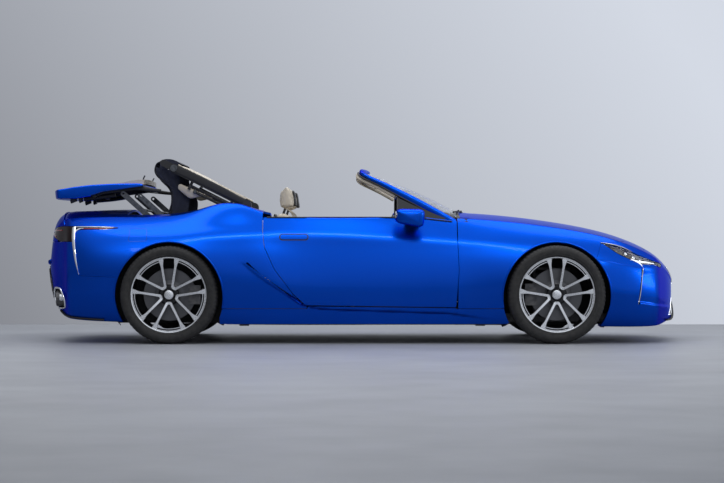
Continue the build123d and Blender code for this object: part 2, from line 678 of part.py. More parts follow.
def make_front_subframe():
    x, z = front_axle_x, front_tyre_r
    y_in = 470
    ky = front_track / 2 - kingpin_in
    z0, z1 = frame_z, frame_z + frame_t
    f = both(box(cabin_front_x + 22 + fit_gap, 1879, y_in - 60, y_in, z0, z1))
    f = f + box(1180, 1260, -y_in, y_in, z0, z1) + box(1660, 1740, -y_in, y_in, z0, z1)
    f = f + both(box(x - 140, x + 140, y_in - 110, y_in - 50, z0, z + ball_z + 40))
    # lower and upper wishbones out to the ball joints, short of the brake disc at full lock
    tip = (disc_mid(front_track / 2, front_tyre_w) - disc_t / 2 - ky - move_gap) * cos(radians(steer_deg)) - 6
    for za in (z - ball_z - fit_gap - 22, z + ball_z + fit_gap):
        f = f + both(plan_prism([
            (x - 120, y_in - 60), (x - tip, ky + tip), (x + tip, ky + tip), (x + 120, y_in - 60), (x + 70, y_in - 60),
            (x + 14, ky - 60), (x - 14, ky - 60), (x - 70, y_in - 60)], za, za + 22))
    return one(f)


def make_rear_subframe():
    x, z = rear_axle_x, rear_tyre_r
    y_in = 430
    z0, z1 = frame_z + 20, frame_z + 20 + frame_t
    f = both(box(-1760, cabin_rear_x - 22 - fit_gap, y_in - 60, y_in, z0, z1))
    f = f + box(-1700, -1620, -y_in, y_in, z0, z1) + box(-1200, -1120, -y_in, y_in, z0, z1)
    f = f + both(box(x - 70, x + 70, y_in - 80, y_in - 20, z0, z + 110))
    f = f + (Pos(x, 0, z) * Box(260, 240, 230))
    y = rear_track / 2
    disc_y = disc_mid(y, rear_tyre_w)
    pin = y_cyl(x, z, axle_pin_r, y_in - 80, disc_y + 50)
    shaft = y_cyl(x, z, 22, 100, y_in)
    plate = Pos(x, y - 150, z) * Box(120, 40, 240)
    arm = box(x + 40, x + 215, y - 165, y - 135, z - 24, z + 24)
    f = f + both(pin + shaft + plate + caliper(x, y - 165, z, disc_y, 1, 70) + arm)
    f = f + both(box(x - 40, x + 40, y_in - 20, y - 140, 245, 275))
    return one(f)


def make_engine():
    z = frame_z + frame_t + fit_gap
    return box(960, 960 + engine_len, -engine_w / 2, engine_w / 2, z, z + engine_h)


def tube(points, r):
    # round pipe through the points, with ball corners
    pipe = None
    for a, b in zip(points, points[1:]):
        a, b = Vector(*a), Vector(*b)
        leg = Plane(origin=a, z_dir=b - a) * extrude(Circle(r), (b - a).length)
        pipe = leg if pipe is None else pipe + leg
    for p in points[1:-1]:
        pipe = pipe + Pos(*p) * Sphere(r)
    return pipe


def make_exhaust():
    z = frame_z + 20 + frame_t + fit_gap + pipe_r
    half = muffler_w / 2
    body = box(-2010, -1800, -half, half, z - pipe_r - 4, 430)
    tail = both(Pos(-2130, 600, 330) * (Rot(0, 90, 0) * (Cylinder(58, 300) - Cylinder(52, 310))))
    link = both(box(-2020, -1975, half - 20, 660, 272, 388))
    pipes = both(tube([(-1805, 190, z), (-1000, 190, z), (-800, 60, z), (930, 60, z)], pipe_r))
    return one(body + tail + link + pipes)


def export(name, shape):
    export_step(shape, "parts/" + name + ".step")


os.makedirs("parts", exist_ok=True)
NODES = {
    "tub": make_tub(),
    "wing_left": make_fender(),
    "quarter_left": make_quarter(),
    "door_left": make_door(),
    "mirror_left": make_mirror(),
    "bonnet": make_bonnet(),
    "front_bumper": make_front_bumper(),
    "grille": make_grille(),
    "headlamp_left": make_headlamps(),
    "tail_lamp_left": make_tail_lamps(),
    "rear_bumper": make_rear_bumper(),
    "boot_lid": make_boot_lid(),
    "windscreen_frame": make_windscreen_frame(),
    "windscreen_glass": make_windscreen_glass(),
    "dashboard": make_dashboard(),
    "console": make_console(),
    "seat_left": make_seat(),
    "rear_seats": make_rear_seats(),
    "steering_wheel": make_steering_wheel(),
    "engine_block": make_engine(),
    "exhaust": make_exhaust(),
    "front_subframe": make_front_subframe(),
    "rear_subframe": make_rear_subframe(),
    "roof_rails": make_roof_rails(),
    "roof_front": make_roof_front(),
    "roof_drape": make_roof_drape(),
    "cover": make_cover(),
    "cover_links_front": make_cover_links(0),
    "cover_links_rear": make_cover_links(1),
    "knuckle_left": make_knuckle(),
}
for name in ("wing", "quarter", "door", "mirror", "headlamp", "tail_lamp", "seat", "knuckle"):
    NODES[name + "_right"] = mirror(NODES[name + "_left"], Plane.XZ)
for tag, side in (("left", 1), ("right", -1)):
    NODES["tyre_front_" + tag] = make_tyre(front_axle_x, front_track / 2, front_tyre_r, front_tyre_w, side)
    NODES["rim_front_" + tag] = make_rim(front_axle_x, front_track / 2, front_tyre_r, front_tyre_w, side)
    NODES["tyre_rear_" + tag] = make_tyre(rear_axle_x, rear_track / 2, rear_tyre_r, rear_tyre_w, side)
    NODES["rim_rear_" + tag] = make_rim(rear_axle_x, rear_track / 2, rear_tyre_r, rear_tyre_w, side)

for name, shape in NODES.items():
    export(name, shape)
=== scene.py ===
"""Finish for a convertible car with its folding roof half way.

Metres, +X forward, +Y to the car's left, +Z up.
"""

import json
import math

import bmesh
import bpy
import numpy as np
from bpy.props import FloatProperty, FloatVectorProperty, IntProperty, PointerProperty
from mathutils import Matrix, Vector

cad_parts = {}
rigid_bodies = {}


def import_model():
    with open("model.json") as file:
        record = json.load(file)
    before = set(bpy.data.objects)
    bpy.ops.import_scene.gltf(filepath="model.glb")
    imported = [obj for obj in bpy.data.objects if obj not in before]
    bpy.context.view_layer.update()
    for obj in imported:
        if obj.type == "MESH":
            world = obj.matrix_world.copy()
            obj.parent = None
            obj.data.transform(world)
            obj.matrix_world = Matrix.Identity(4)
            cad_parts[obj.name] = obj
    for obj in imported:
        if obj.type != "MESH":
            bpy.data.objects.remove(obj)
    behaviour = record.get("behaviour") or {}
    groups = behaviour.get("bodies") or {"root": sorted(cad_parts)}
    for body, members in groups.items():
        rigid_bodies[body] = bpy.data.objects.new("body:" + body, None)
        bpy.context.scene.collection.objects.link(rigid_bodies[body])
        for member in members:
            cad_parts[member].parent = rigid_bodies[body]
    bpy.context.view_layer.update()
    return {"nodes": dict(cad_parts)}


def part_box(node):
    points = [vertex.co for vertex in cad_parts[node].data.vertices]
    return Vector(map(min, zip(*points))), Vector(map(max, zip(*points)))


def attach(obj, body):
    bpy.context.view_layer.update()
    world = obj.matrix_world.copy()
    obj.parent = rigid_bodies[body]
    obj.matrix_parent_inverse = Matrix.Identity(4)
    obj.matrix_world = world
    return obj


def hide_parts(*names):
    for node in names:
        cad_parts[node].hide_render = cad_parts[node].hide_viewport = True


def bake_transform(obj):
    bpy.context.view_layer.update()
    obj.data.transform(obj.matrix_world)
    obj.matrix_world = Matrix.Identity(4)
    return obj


for spare in list(bpy.data.objects):
    bpy.data.objects.remove(spare)
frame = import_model()

bl_info = {
    "name": "Convertible car finish",
    "version": (1, 0, 0),
    "blender": (4, 5, 0),
    "location": "3D View > Sidebar > Car",
    "description": "Bodywork, wheels, lamps, cabin and folding roof of a convertible car",
    "category": "Add Mesh",
}

# ---------------------------------------------------------------- sizes shared with the solids
# Body sections from nose to tail: x, bottom z, bottom half width, waist z, waist half width, shoulder z,
# shoulder half width, top z on the centre line.
STATIONS = np.array([
    (2392, 175, 330, 330, 400, 490, 330, 535),
    (2335, 148, 520, 330, 640, 560, 500, 606),
    (2200, 126, 690, 340, 800, 648, 660, 704),
    (1960, 124, 790, 370, 895, 752, 735, 806),
    (1460, 132, 820, 430, 944, 862, 748, 914),
    (800, 140, 838, 430, 914, 928, 738, 980),
    (0, 140, 846, 430, 906, 934, 800, 985),
    (-600, 140, 850, 440, 926, 956, 800, 1000),
    (-1000, 144, 850, 470, 956, 1008, 760, 1024),
    (-1410, 150, 840, 490, 960, 952, 730, 1000),
    (-1800, 160, 800, 500, 930, 944, 690, 1006),
    (-2120, 176, 730, 520, 856, 938, 630, 996),
    (-2272, 210, 620, 540, 756, 918, 560, 980),
    (-2376, 440, 470, 590, 540, 700, 470, 735),
]) / 1000.0
FRONT_WHEEL = (1.460, 0.805, 0.3645)       # axle x, y and z
REAR_WHEEL = (-1.410, 0.800, 0.3635)
FRONT_TYRE = (0.3645, 0.245)               # radius and width
REAR_TYRE = (0.3635, 0.275)
BELT_Z = 0.937                             # top of the door skin
DOOR_INSIDE = 0.757                        # least distance of the door skin from the middle
SILL_Z = 0.2625                            # lower edge of wings and quarters
COWL_X = 0.822                             # rear edge of the bonnet
COWL_HALF = 0.700
FRONT_ARCH = (1.460, 0.352, 0.398)
REAR_ARCH = (-1.410, 0.352, 0.400)
DOOR = np.array([(724, 1100), (724, 800), (735, 543), (715, 272), (-398, 287), (-490, 372), (-626, 552),
                 (-702, 718),
                 (-716, 836), (-716, 1100)]) / 1000.0
FENDER = np.array([(730, 100), (730, 1200), (2156, 1200), (2156, 700), (2010, 760), (1795, 745),
                   (1752, 618),
                   (1700, 500), (1200, 100)]) / 1000.0
LAMP = np.array([(1788, 751), (1880, 736), (1961, 713), (2081, 655), (2190, 614), (2275, 588),
                 (2262, 560), (2200, 586),
                 (2100, 588), (2021, 620), (1921, 667), (1841, 722)]) / 1000.0
REAR_BUMPER = np.array([(-1700, 60), (-1700, 488), (-2080, 505), (-2115, 755), (-2500, 755),
                        (-2500, 60)]) / 1000.0
TAIL_STRIP = np.array([(-1795, 856), (-1795, 862), (-1900, 869), (-2135, 872), (-2135, 846),
                       (-1900, 849)]) / 1000.0
TAIL_LENS = np.array([(-2130, 872), (-2129, 760), (-2420, 760), (-2420, 872)]) / 1000.0
TAIL_LENS_BACK = np.array([(900, 872), (600, 872), (300, 850), (268, 838), (330, 814), (560, 780),
                           (640, 760),
                           (900, 760)]) / 1000.0
INTAKE = np.array([(2096, 560), (2110, 557), (2080, 290), (2068, 288)]) / 1000.0
GRILLE = np.array([(-300, 560), (300, 560), (235, 440), (430, 205), (-430, 205), (-235, 440)]) / 1000.0
BONNET = np.array([(822, -700), (822, 700), (1900, 640), (2150, 550), (2150, -550),
                   (1900, -640)]) / 1000.0
SLOT = np.array([(-842, 597), (-826, 606), (-730, 520), (-416, 300), (-424, 284)]) / 1000.0


# ---------------------------------------------------------------- body surface
def spline_table(rows):
    """Natural cubic spline through the rows of a table by chord length: knots, rows, second derivatives."""
    t = np.concatenate([[0], np.cumsum(np.linalg.norm(np.diff(rows, axis=0), axis=1))])
    n = len(t)
    a, r = np.eye(n), np.zeros_like(rows)
    h = np.diff(t)
    i = np.arange(1, n - 1)
    a[i, i - 1], a[i, i], a[i, i + 1] = h[:-1], 2 * (h[:-1] + h[1:]), h[1:]
    r[1:-1] = 6 * (np.diff(rows[1:], axis=0) / h[1:, None] - np.diff(rows[:-1], axis=0) / h[:-1, None])
    return t, rows, np.linalg.solve(a, r)


KNOT, ROW, CURVE = spline_table(STATIONS)
T_END = KNOT[-1]
CAP = 0.30                     # length in t that each end cap takes


def row_at(t):
    """Section sizes at chord parameter t, cubic between the sections."""
    t = np.clip(t, 0, T_END)
    i = np.clip(np.searchsorted(KNOT, t, side="right") - 1, 0, len(KNOT) - 2)
    h = (KNOT[i + 1] - KNOT[i])[..., None]
    b = (t[..., None] - KNOT[i][..., None]) / h
    a = 1 - b
    return a * ROW[i] + b * ROW[i + 1] + ((a ** 3 - a) * CURVE[i] + (b ** 3 - b)
                                          * CURVE[i + 1]) * h * h / 6


T_FINE = np.linspace(0, T_END, 4001)
X_FINE = row_at(T_FINE)[:, 0]


def t_of(x):
    """Chord parameter of the section at x."""
    return np.interp(-np.asarray(x, float), -X_FINE, T_FINE)


def arc(a, b, c, w):
    """Point at fraction w of the circular arc from a through b to c; each is a pair (y, z) of arrays."""
    (ax, ay), (bx, by), (cx, cy) = a, b, c
    d = 2 * (ax * (by - cy) + bx * (cy - ay) + cx * (ay - by))
    sa, sb, sc = ax ** 2 + ay ** 2, bx ** 2 + by ** 2, cx ** 2 + cy ** 2
    ux = (sa * (by - cy) + sb * (cy - ay) + sc * (ay - by)) / d
    uy = (sa * (cx - bx) + sb * (ax - cx) + sc * (bx - ax)) / d
    p, q = np.arctan2(ay - uy, ax - ux), np.arctan2(cy - uy, cx - ux)
    ang = p + ((q - p + np.pi) % (2 * np.pi) - np.pi) * w
    r = np.hypot(ax - ux, ay - uy)
    return ux + r * np.cos(ang), uy + r * np.sin(ang)


def section(t, s):
    """Body section at t: s from -1 to 0 runs out along the bottom, 0 to 1 up the lower side, 1 to 2 up the upper
    side, 2 to 4 over the top, and 4 to 7 down the car's right side and back to the middle."""
    right = s > 3
    s = np.where(right, 6 - s, s)
    x, zb, yb, zw, yw, zh, yh, zt = np.moveaxis(row_at(t), -1, 0)
    low = arc((yb, zb), (yb + 0.68 * (yw - yb), zb + 0.5 * (zw - zb)), (yw, zw), np.clip(s, 0, 1))
    high = arc((yw, zw), (yh + 0.74 * (yw - yh), zw + 0.58 * (zh - zw)), (yh, zh), np.clip(s - 1, 0, 1))
    top = arc((yh, zh), (0 * zt, zt), (-yh, zh), np.clip(s - 2, 0, 1) / 2)
    y = np.select([s < 0, s < 1, s < 2], [yb * (1 + s), low[0], high[0]], top[0])
    z = np.select([s < 0, s < 1, s < 2], [zb, low[1], high[1]], top[1])
    return np.stack([x, np.where(right, -y, y), z], -1)


def ease(v, lo, hi):
    """Smooth step from 0 at lo to 1 at hi."""
    w = np.clip((v - lo) / (hi - lo), 0, 1)
    return w * w * (3 - 2 * w)


def plain(t, s):
    """Section surface with a domed cap at each end: the cap is a cubic that leaves the last section along the
    body's own slope and reaches the middle of the end square to it."""
    t, s = np.broadcast_arrays(np.asarray(t, float), np.asarray(s, float))
    p = section(t, s)
    for end, sign, mid in ((0.0, -1, (2.404, 0, 0.37)), (T_END, 1, (-2.384, 0, 0.60))):
        over = (sign * (t - end) > 0)[..., None]
        w = np.clip(sign * (t - end) / CAP, 0, 1)[..., None]
        e = section(np.full_like(t, end), s)
        d = e - section(np.full_like(t, end - sign * 0.004), s)
        d = d / np.linalg.norm(d, axis=-1, keepdims=True)
        m = np.asarray(mid)
        flat = (m - e) * (0, 1, 1)
        size = np.linalg.norm(flat, axis=-1, keepdims=True)
        cubic = ((2 * w ** 3 - 3 * w ** 2 + 1) * e + (w ** 3 - 2 * w ** 2 + w) * d * size
                 + (3 * w ** 2 - 2 * w ** 3) * m + (w ** 3 - w ** 2) * flat)
        p = np.where(over, cubic, p)
    # rounder corners in plan: the ends are drawn in with the square of the distance from the middle
    out = (p[..., 1] / 0.6) ** 2
    p[..., 0] += out * (0.072 * ease(-p[..., 0], 2.14, 2.37) - 0.050 * ease(p[..., 0], 2.20, 2.39))
    return p


def relief(p, size):
    """Outward relief of the side: above the sill crease, which climbs behind the door, the side stands out and fades
    upward; a soft ridge runs along the belt and over the rear wheel."""
    x, z = p[..., 0], p[..., 2]
    crease = np.interp(x, [-0.86, -0.74, -0.43, -0.30, -0.22, 0.67, 1.03],
                       [0.60, 0.50, 0.292, 0.268, 0.262, 0.232, 0.178])
    cut = ease(x, -0.92, -0.60) * (1 - ease(x, 0.62, 1.02))
    out = size.crease_depth * cut * ease(z, crease - 0.014,
                                         crease + 0.006) * (1 - ease(z, crease, crease + 0.42))
    ridge = np.interp(x, [-2.1, -1.4, -0.95, -0.73, 0.9, 1.8], [0.83, 0.80, 0.80, 0.815, 0.755, 0.70])
    out = out + size.ridge * np.exp(-((z - ridge) / 0.055) ** 2) * ease(x, -2.1,
            -1.7) * (1 - ease(x, 0.7, 1.6))
    # corner of the nose: a fold under the lamp, drawn in ahead of the bright blade down to the lower lip
    fold = np.interp(x, [1.74, 2.10], [0.622, 0.556])
    out = out + size.ridge * ease(x, 1.72, 1.86) * (1 - ease(x, 2.09, 2.13)) * ease(z, fold - 0.16,
            fold) * (1 - ease(z, fold, fold + 0.012))
    blade = np.interp(z, [0.29, 0.56], [2.062, 2.100])
    lip = np.interp(x, [2.06, 2.36], [0.300, 0.256])
    out = out - 0.8 * size.crease_depth * ease(x, blade, blade + 0.012) * ease(z, lip,
            lip + 0.020) * (1 - ease(z, 0.50, 0.566))
    # crease over the rear bumper's lower half
    out = out + 0.6 * size.ridge * ease(-x, 1.90, 2.06) * ease(z, 0.30,
                                                               0.392) * (1 - ease(z, 0.392, 0.402))
    return out


def haunch(p):
    """Rise of the shoulder beside the roof's pivot: a smooth hump along X that fades in above the waist."""
    along = ease(-p[..., 0], 0.70, 0.93) * (1 - ease(-p[..., 0], 0.98, 1.32))
    return 0.036 * along * ease(p[..., 2], 0.86, 0.99) * ease(np.abs(p[..., 1]), 0.46, 0.70)


def body(t, s):
    """Finished body surface: the plain one with its relief added along Y on the sides."""
    size = bpy.context.scene.car_body
    s = np.asarray(s, float)
    p = plain(t, s)
    side = np.where(s > 3, 6 - s, s)
    push = relief(p, size) * ease(side, 0.0, 0.15) * (1 - ease(side, 1.85, 2.0))
    p[..., 1] += push * np.where(s > 3, -1, 1)
    p[..., 2] += haunch(p)
    return p


def body_normal(t, s):
    """Outward unit normal of the body surface, from its slopes along t and s."""
    a = body(t + 0.002, s) - body(t - 0.002, s)
    b = body(t, s + 0.003) - body(t, s - 0.003)
    n = np.cross(a, b)
    return n / np.maximum(np.linalg.norm(n, axis=-1, keepdims=True), 1e-12)


# ---------------------------------------------------------------- outlines
def outline(points, a, b, grow=0.0):
    """Signed distance of the points (a, b) from a closed outline, negative inside it, with the outline made larger."""
    near, inside = np.full(np.shape(a), 9.0), np.zeros(np.shape(a), bool)
    for (x0, y0), (x1, y1) in zip(points, np.roll(points, -1, 0)):
        dx, dy = x1 - x0, y1 - y0
        w = np.clip(((a - x0) * dx + (b - y0) * dy) / (dx * dx + dy * dy), 0, 1)
        near = np.minimum(near, np.hypot(a - x0 - w * dx, b - y0 - w * dy))
        if dy:
            inside ^= ((y0 > b) != (y1 > b)) & (a < x0 + (b - y0) * dx / dy)
    return np.where(inside, -near, near) - grow


def both_in(*f):
    """Region inside all of the given ones."""
    return np.maximum.reduce(f)


def arch_in(p, arch, grow=0.0):
    """Signed distance from the wheel arch, negative inside it."""
    return np.hypot(p[..., 0] - arch[0], p[..., 2] - arch[1]) - arch[2] - grow


def side_in(p, points, grow=0.0):
    """Signed distance from an outline in the side view."""
    return outline(points, p[..., 0], p[..., 2], grow)


# ---------------------------------------------------------------- meshes
def smooth_faces(m):
    """Smooth shading on every face of a mesh."""
    m.polygons.foreach_set("use_smooth", np.ones(len(m.polygons), bool))


def new_object(name, verts, faces, normals=None):
    """Object from rows of points and faces, with the normal of each face corner where they are given."""
    m = bpy.data.meshes.new(name)
    m.from_pydata(np.asarray(verts, float).reshape(-1, 3).tolist(), [], faces)
    o = bpy.data.objects.new(name, m)
    bpy.context.collection.objects.link(o)
    smooth_faces(m)
    if normals is not None:
        m.normals_split_custom_set(normals.tolist())
    m.update()
    return o


def cut_grid(region, t, s):
    """Cells of the (t, s) grid inside a region of the body, cut along its edge: parameters of the corners, faces.
    Every cell is two triangles; a triangle that the edge crosses is cut where the signed distance is nought."""
    tt, ss = np.meshgrid(t, s, indexing="ij")
    f = region(body(tt, ss))
    ins = f < 0
    idx = np.where(ins, np.cumsum(ins).reshape(ins.shape) - 1, -1)
    par = [np.stack([tt[ins], ss[ins]], -1)]
    count = ins.sum()
    cross = []
    for a, b in (((slice(None, -1), slice(None)), (slice(1, None), slice(None))),
                 ((slice(None), slice(None, -1)), (slice(None), slice(1, None))),
                 ((slice(None, -1), slice(None, -1)), (slice(1, None), slice(1, None)))):
        m = ins[a] != ins[b]
        w = np.clip(f[a][m] / (f[a][m] - f[b][m]), 0.03, 0.97)
        par.append(np.stack([tt[a][m] * (1 - w) + tt[b][m] * w, ss[a][m] * (1 - w) + ss[b][m] * w], -1))
        k = np.full(m.shape, -1)
        k[m] = count + np.arange(m.sum())
        count += m.sum()
        cross.append(k)
    h, v, d = cross
    full = ins[:-1, :-1] & ins[1:, :-1] & ins[1:, 1:] & ins[:-1, 1:]
    quads = [np.stack([idx[:-1, :-1], idx[1:, :-1], idx[1:, 1:], idx[:-1, 1:]], -1)[full]]
    tris = []
    for c in ((idx[:-1, :-1], idx[1:, :-1], idx[1:, 1:], h[:, :-1], v[1:, :], d),
              (idx[:-1, :-1], idx[1:, 1:], idx[:-1, 1:], d, h[:, 1:], v[:-1, :])):
        c = [k[~full] for k in c]
        whole = (c[0] >= 0) & (c[1] >= 0) & (c[2] >= 0)
        tris.append(np.stack(c[:3], -1)[whole])
        for _ in range(3):
            one = (c[0] >= 0) & (c[1] < 0) & (c[2] < 0)
            two = (c[0] >= 0) & (c[1] >= 0) & (c[2] < 0)
            tris.append(np.stack([c[0], c[3], c[5]], -1)[one])
            quads.append(np.stack([c[0], c[1], c[4], c[5]], -1)[two])
            c = [c[1], c[2], c[0], c[4], c[5], c[3]]
    return np.concatenate(par), np.concatenate(tris), np.concatenate(quads)


def skin(name, region, t, s, thick, lift=0.0):
    """Panel of the body surface inside a region, lifted off it, with its thickness inward and its own edge all round."""
    par, tris, quads = cut_grid(region, t, s)
    used, inverse = np.unique(np.concatenate([tris.ravel(), quads.ravel()]), return_inverse=True)
    tris, quads = inverse[:tris.size].reshape(-1, 3), inverse[tris.size:].reshape(-1, 4)
    par = par[used]
    p, nrm = body(par[:, 0], par[:, 1]), body_normal(par[:, 0], par[:, 1])
    n = len(p)
    edges = np.concatenate([tris[:, [0, 1]], tris[:, [1, 2]], tris[:, [2, 0]],
                            quads[:, [0, 1]], quads[:, [1, 2]], quads[:, [2, 3]], quads[:, [3, 0]]])
    key = np.sort(edges, 1) @ [n, 1]
    _, first, times = np.unique(key, return_index=True, return_counts=True)
    rim = edges[first[times == 1]]
    p = p + nrm * lift
    back = p - nrm * thick
    rims = np.stack([rim[:, 0], rim[:, 0] + n, rim[:, 1] + n, rim[:, 1]], -1)
    verts = np.concatenate([p, back])
    flat = np.cross(verts[rims[:, 1]] - verts[rims[:, 0]], verts[rims[:, 3]] - verts[rims[:, 0]])
    flat /= np.maximum(np.linalg.norm(flat, axis=-1, keepdims=True), 1e-12)
    normals = np.concatenate([nrm[tris.ravel()], nrm[quads.ravel()], -nrm[tris[:, ::-1].ravel()],
                              -nrm[quads[:, ::-1].ravel()], np.repeat(flat, 4, 0)])
    faces = (tris.tolist() + quads.tolist() + (tris[:, ::-1] + n).tolist() + (quads[:, ::-1] + n).tolist()
             + rims.tolist())
    return new_object(name, verts, faces, normals)


def grid_faces(nu, nv, close_u=False, close_v=False):
    """Quads of an nu by nv grid of points, closed round either way if asked."""
    i, j = np.meshgrid(np.arange(nu if close_u else nu - 1), np.arange(nv if close_v else nv - 1),
                       indexing="ij")
    k, l = (i + 1) % nu, (j + 1) % nv
    return np.stack([i * nv + j, k * nv + j, k * nv + l, i * nv + l], -1).reshape(-1, 4)


def grids(name, parts, smooth_deg=35):
    """One object from several grids: each part is (points, close_u, close_v), and its faces are turned so that the
    closed form they make has its inside behind them."""
    verts, faces, n = [], [], 0
    for g, cu, cv in parts:
        f = grid_faces(g.shape[0], g.shape[1], cu, cv)
        v = g.reshape(-1, 3)
        c = v - v.mean(0)
        vol = np.einsum("ij,ij->i", c[f[:, 0]], np.cross(c[f[:, 1]], c[f[:, 2]])).sum()
        vol += np.einsum("ij,ij->i", c[f[:, 0]], np.cross(c[f[:, 2]], c[f[:, 3]])).sum()
        faces.append((f if vol > 0 else f[:, ::-1]) + n)
        verts.append(v)
        n += len(v)
    o = new_object(name, np.concatenate(verts), np.concatenate(faces).tolist())
    tidy(o, smooth_deg)
    return o


def tidy(o, smooth_deg=35):
    """Closes poles and seams by merging points that lie on each other, and breaks the shading at sharp edges."""
    b = bmesh.new()
    b.from_mesh(o.data)
    bmesh.ops.remove_doubles(b, verts=b.verts, dist=1e-5)
    b.to_mesh(o.data)
    b.free()
    smooth_faces(o.data)
    o.data.set_sharp_from_angle(angle=math.radians(smooth_deg))


def turned(profile, centre=(0, 0, 0), axis="y", n=96):
    """Surface of a profile turned about an axis through the centre; its rows are (radius, place along the axis)."""
    p = np.asarray(profile, float)
    a = np.linspace(0, 2 * np.pi, n, endpoint=False)[:, None]
    r, h = p[None, :, 0], p[None, :, 1] + 0 * a
    g = np.stack([r * np.cos(a), h, r * np.sin(a)], -1)
    g = g[..., {"y": [0, 1, 2], "z": [0, 2, 1], "x": [1, 0, 2]}[axis]]
    return g + np.asarray(centre), True, False


def swept(path, profile, up=(0, 0, 1), closed=False, scale=None):
    """Profile carried along a path: its rows are (across, up), across is square to the path and to up. Scale gives
    for each point of the path how much larger the profile is across and up."""
    p = np.asarray(path, float)
    d = np.gradient(p, axis=0) if not closed else np.roll(p, -1, 0) - np.roll(p, 1, 0)
    d /= np.maximum(np.linalg.norm(d, axis=1, keepdims=True), 1e-9)
    up = np.broadcast_to(np.asarray(up, float), p.shape)
    side = np.cross(d, up)
    side /= np.maximum(np.linalg.norm(side, axis=1, keepdims=True), 1e-9)
    top = np.cross(side, d)
    q = np.asarray(profile, float)
    k = np.ones((len(p), 2)) if scale is None else np.asarray(scale)
    g = p[:, None] + q[None, :, :1] * k[:, None, :1] * side[:, None] + q[None, :, 1:] * k[:, None,
            1:] * top[:, None]
    if not closed:
        g = np.concatenate([np.repeat(g[:1].mean(1, keepdims=True), g.shape[1], 1), g,
                            np.repeat(g[-1:].mean(1, keepdims=True), g.shape[1], 1)])
    return g, closed, True


def ring(w, h, n=16, power=2.0):
    """Closed oval profile w wide and h high; a power above 2 squares it."""
    a = np.linspace(0, 2 * np.pi, n, endpoint=False)
    c, s = np.cos(a), np.sin(a)
    return np.stack([w / 2 * np.sign(c) * np.abs(c) ** (2 / power),
                     h / 2 * np.sign(s) * np.abs(s) ** (2 / power)], -1)


def smooth_path(points, n):
    """n points on a natural cubic spline through the given ones."""
    t, rows, curve = spline_table(np.asarray(points, float))
    u = np.linspace(0, t[-1], n)
    i = np.clip(np.searchsorted(t, u, side="right") - 1, 0, len(t) - 2)
    h = (t[i + 1] - t[i])[:, None]
    b = (u - t[i])[:, None] / h
    a = 1 - b
    return a * rows[i] + b * rows[i + 1] + ((a ** 3 - a) * curve[i] + (b ** 3 - b)
                                            * curve[i + 1]) * h * h / 6


def put(o, material, body_name, stands_for=()):
    """Gives a piece its material and the body it rides on, and hides the nodes it stands for."""
    o.data.materials.clear()
    o.data.materials.append(MATS[material])
    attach(o, body_name)
    if stands_for:
        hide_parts(*stands_for)
    return o


MATS = {}


# ---------------------------------------------------------------- sizes and colours that a user would change
class CarBodySettings(bpy.types.PropertyGroup):
    """Bodywork sizes and the paint's colour."""

    paint: FloatVectorProperty(name="Paint", description="Colour of the metallic paint", subtype="COLOR",
                               size=3,
                               default=(0.0, 0.075, 0.60), min=0, max=1)
    shut_gap: FloatProperty(name="Shut gap", description="Gap round doors and lids", default=0.0040,
                            unit="LENGTH")
    seam_gap: FloatProperty(name="Seam gap", description="Gap between fixed panels", default=0.0016,
                            unit="LENGTH")
    thickness: FloatProperty(name="Panel edge", description="Depth of a panel at its edge", default=0.016,
                             unit="LENGTH")
    crease_depth: FloatProperty(name="Sill crease",
                                description="How far the side is drawn in under the crease",
                                default=0.020, unit="LENGTH")
    ridge: FloatProperty(name="Belt ridge", description="How far the belt's soft ridge stands out",
                         default=0.006,
                         unit="LENGTH")
    lip: FloatProperty(name="Arch lip", description="Width of the rounded lip of a wheel arch",
                       default=0.022,
                       unit="LENGTH")


class CarWheelSettings(bpy.types.PropertyGroup):
    """Wheel and tyre sizes."""

    spokes: IntProperty(name="Spoke pairs", description="Pairs of arms in a wheel", default=5, min=3,
                        max=9)
    spread: FloatProperty(name="Spread", description="Angle between the two arms of a pair at the rim",
                          default=0.82,
                          subtype="ANGLE")
    face: FloatProperty(name="Arm width", description="Width of an arm's bright face", default=0.020,
                        unit="LENGTH")
    grooves: IntProperty(name="Tread grooves", description="Grooves round the tread", default=4, min=2,
                         max=6)


class CarCabinSettings(bpy.types.PropertyGroup):
    """Cabin and roof finishes."""

    leather: FloatVectorProperty(name="Leather", description="Colour of the seats and trim",
                                 subtype="COLOR", size=3,
                                 default=(0.70, 0.63, 0.52), min=0, max=1)
    cloth: FloatVectorProperty(name="Roof cloth", description="Colour of the folding roof",
                               subtype="COLOR", size=3,
                               default=(0.018, 0.022, 0.045), min=0, max=1)
    swell: FloatProperty(name="Seat swell", description="Most that a seat pad may swell", default=0.022,
                         unit="LENGTH")


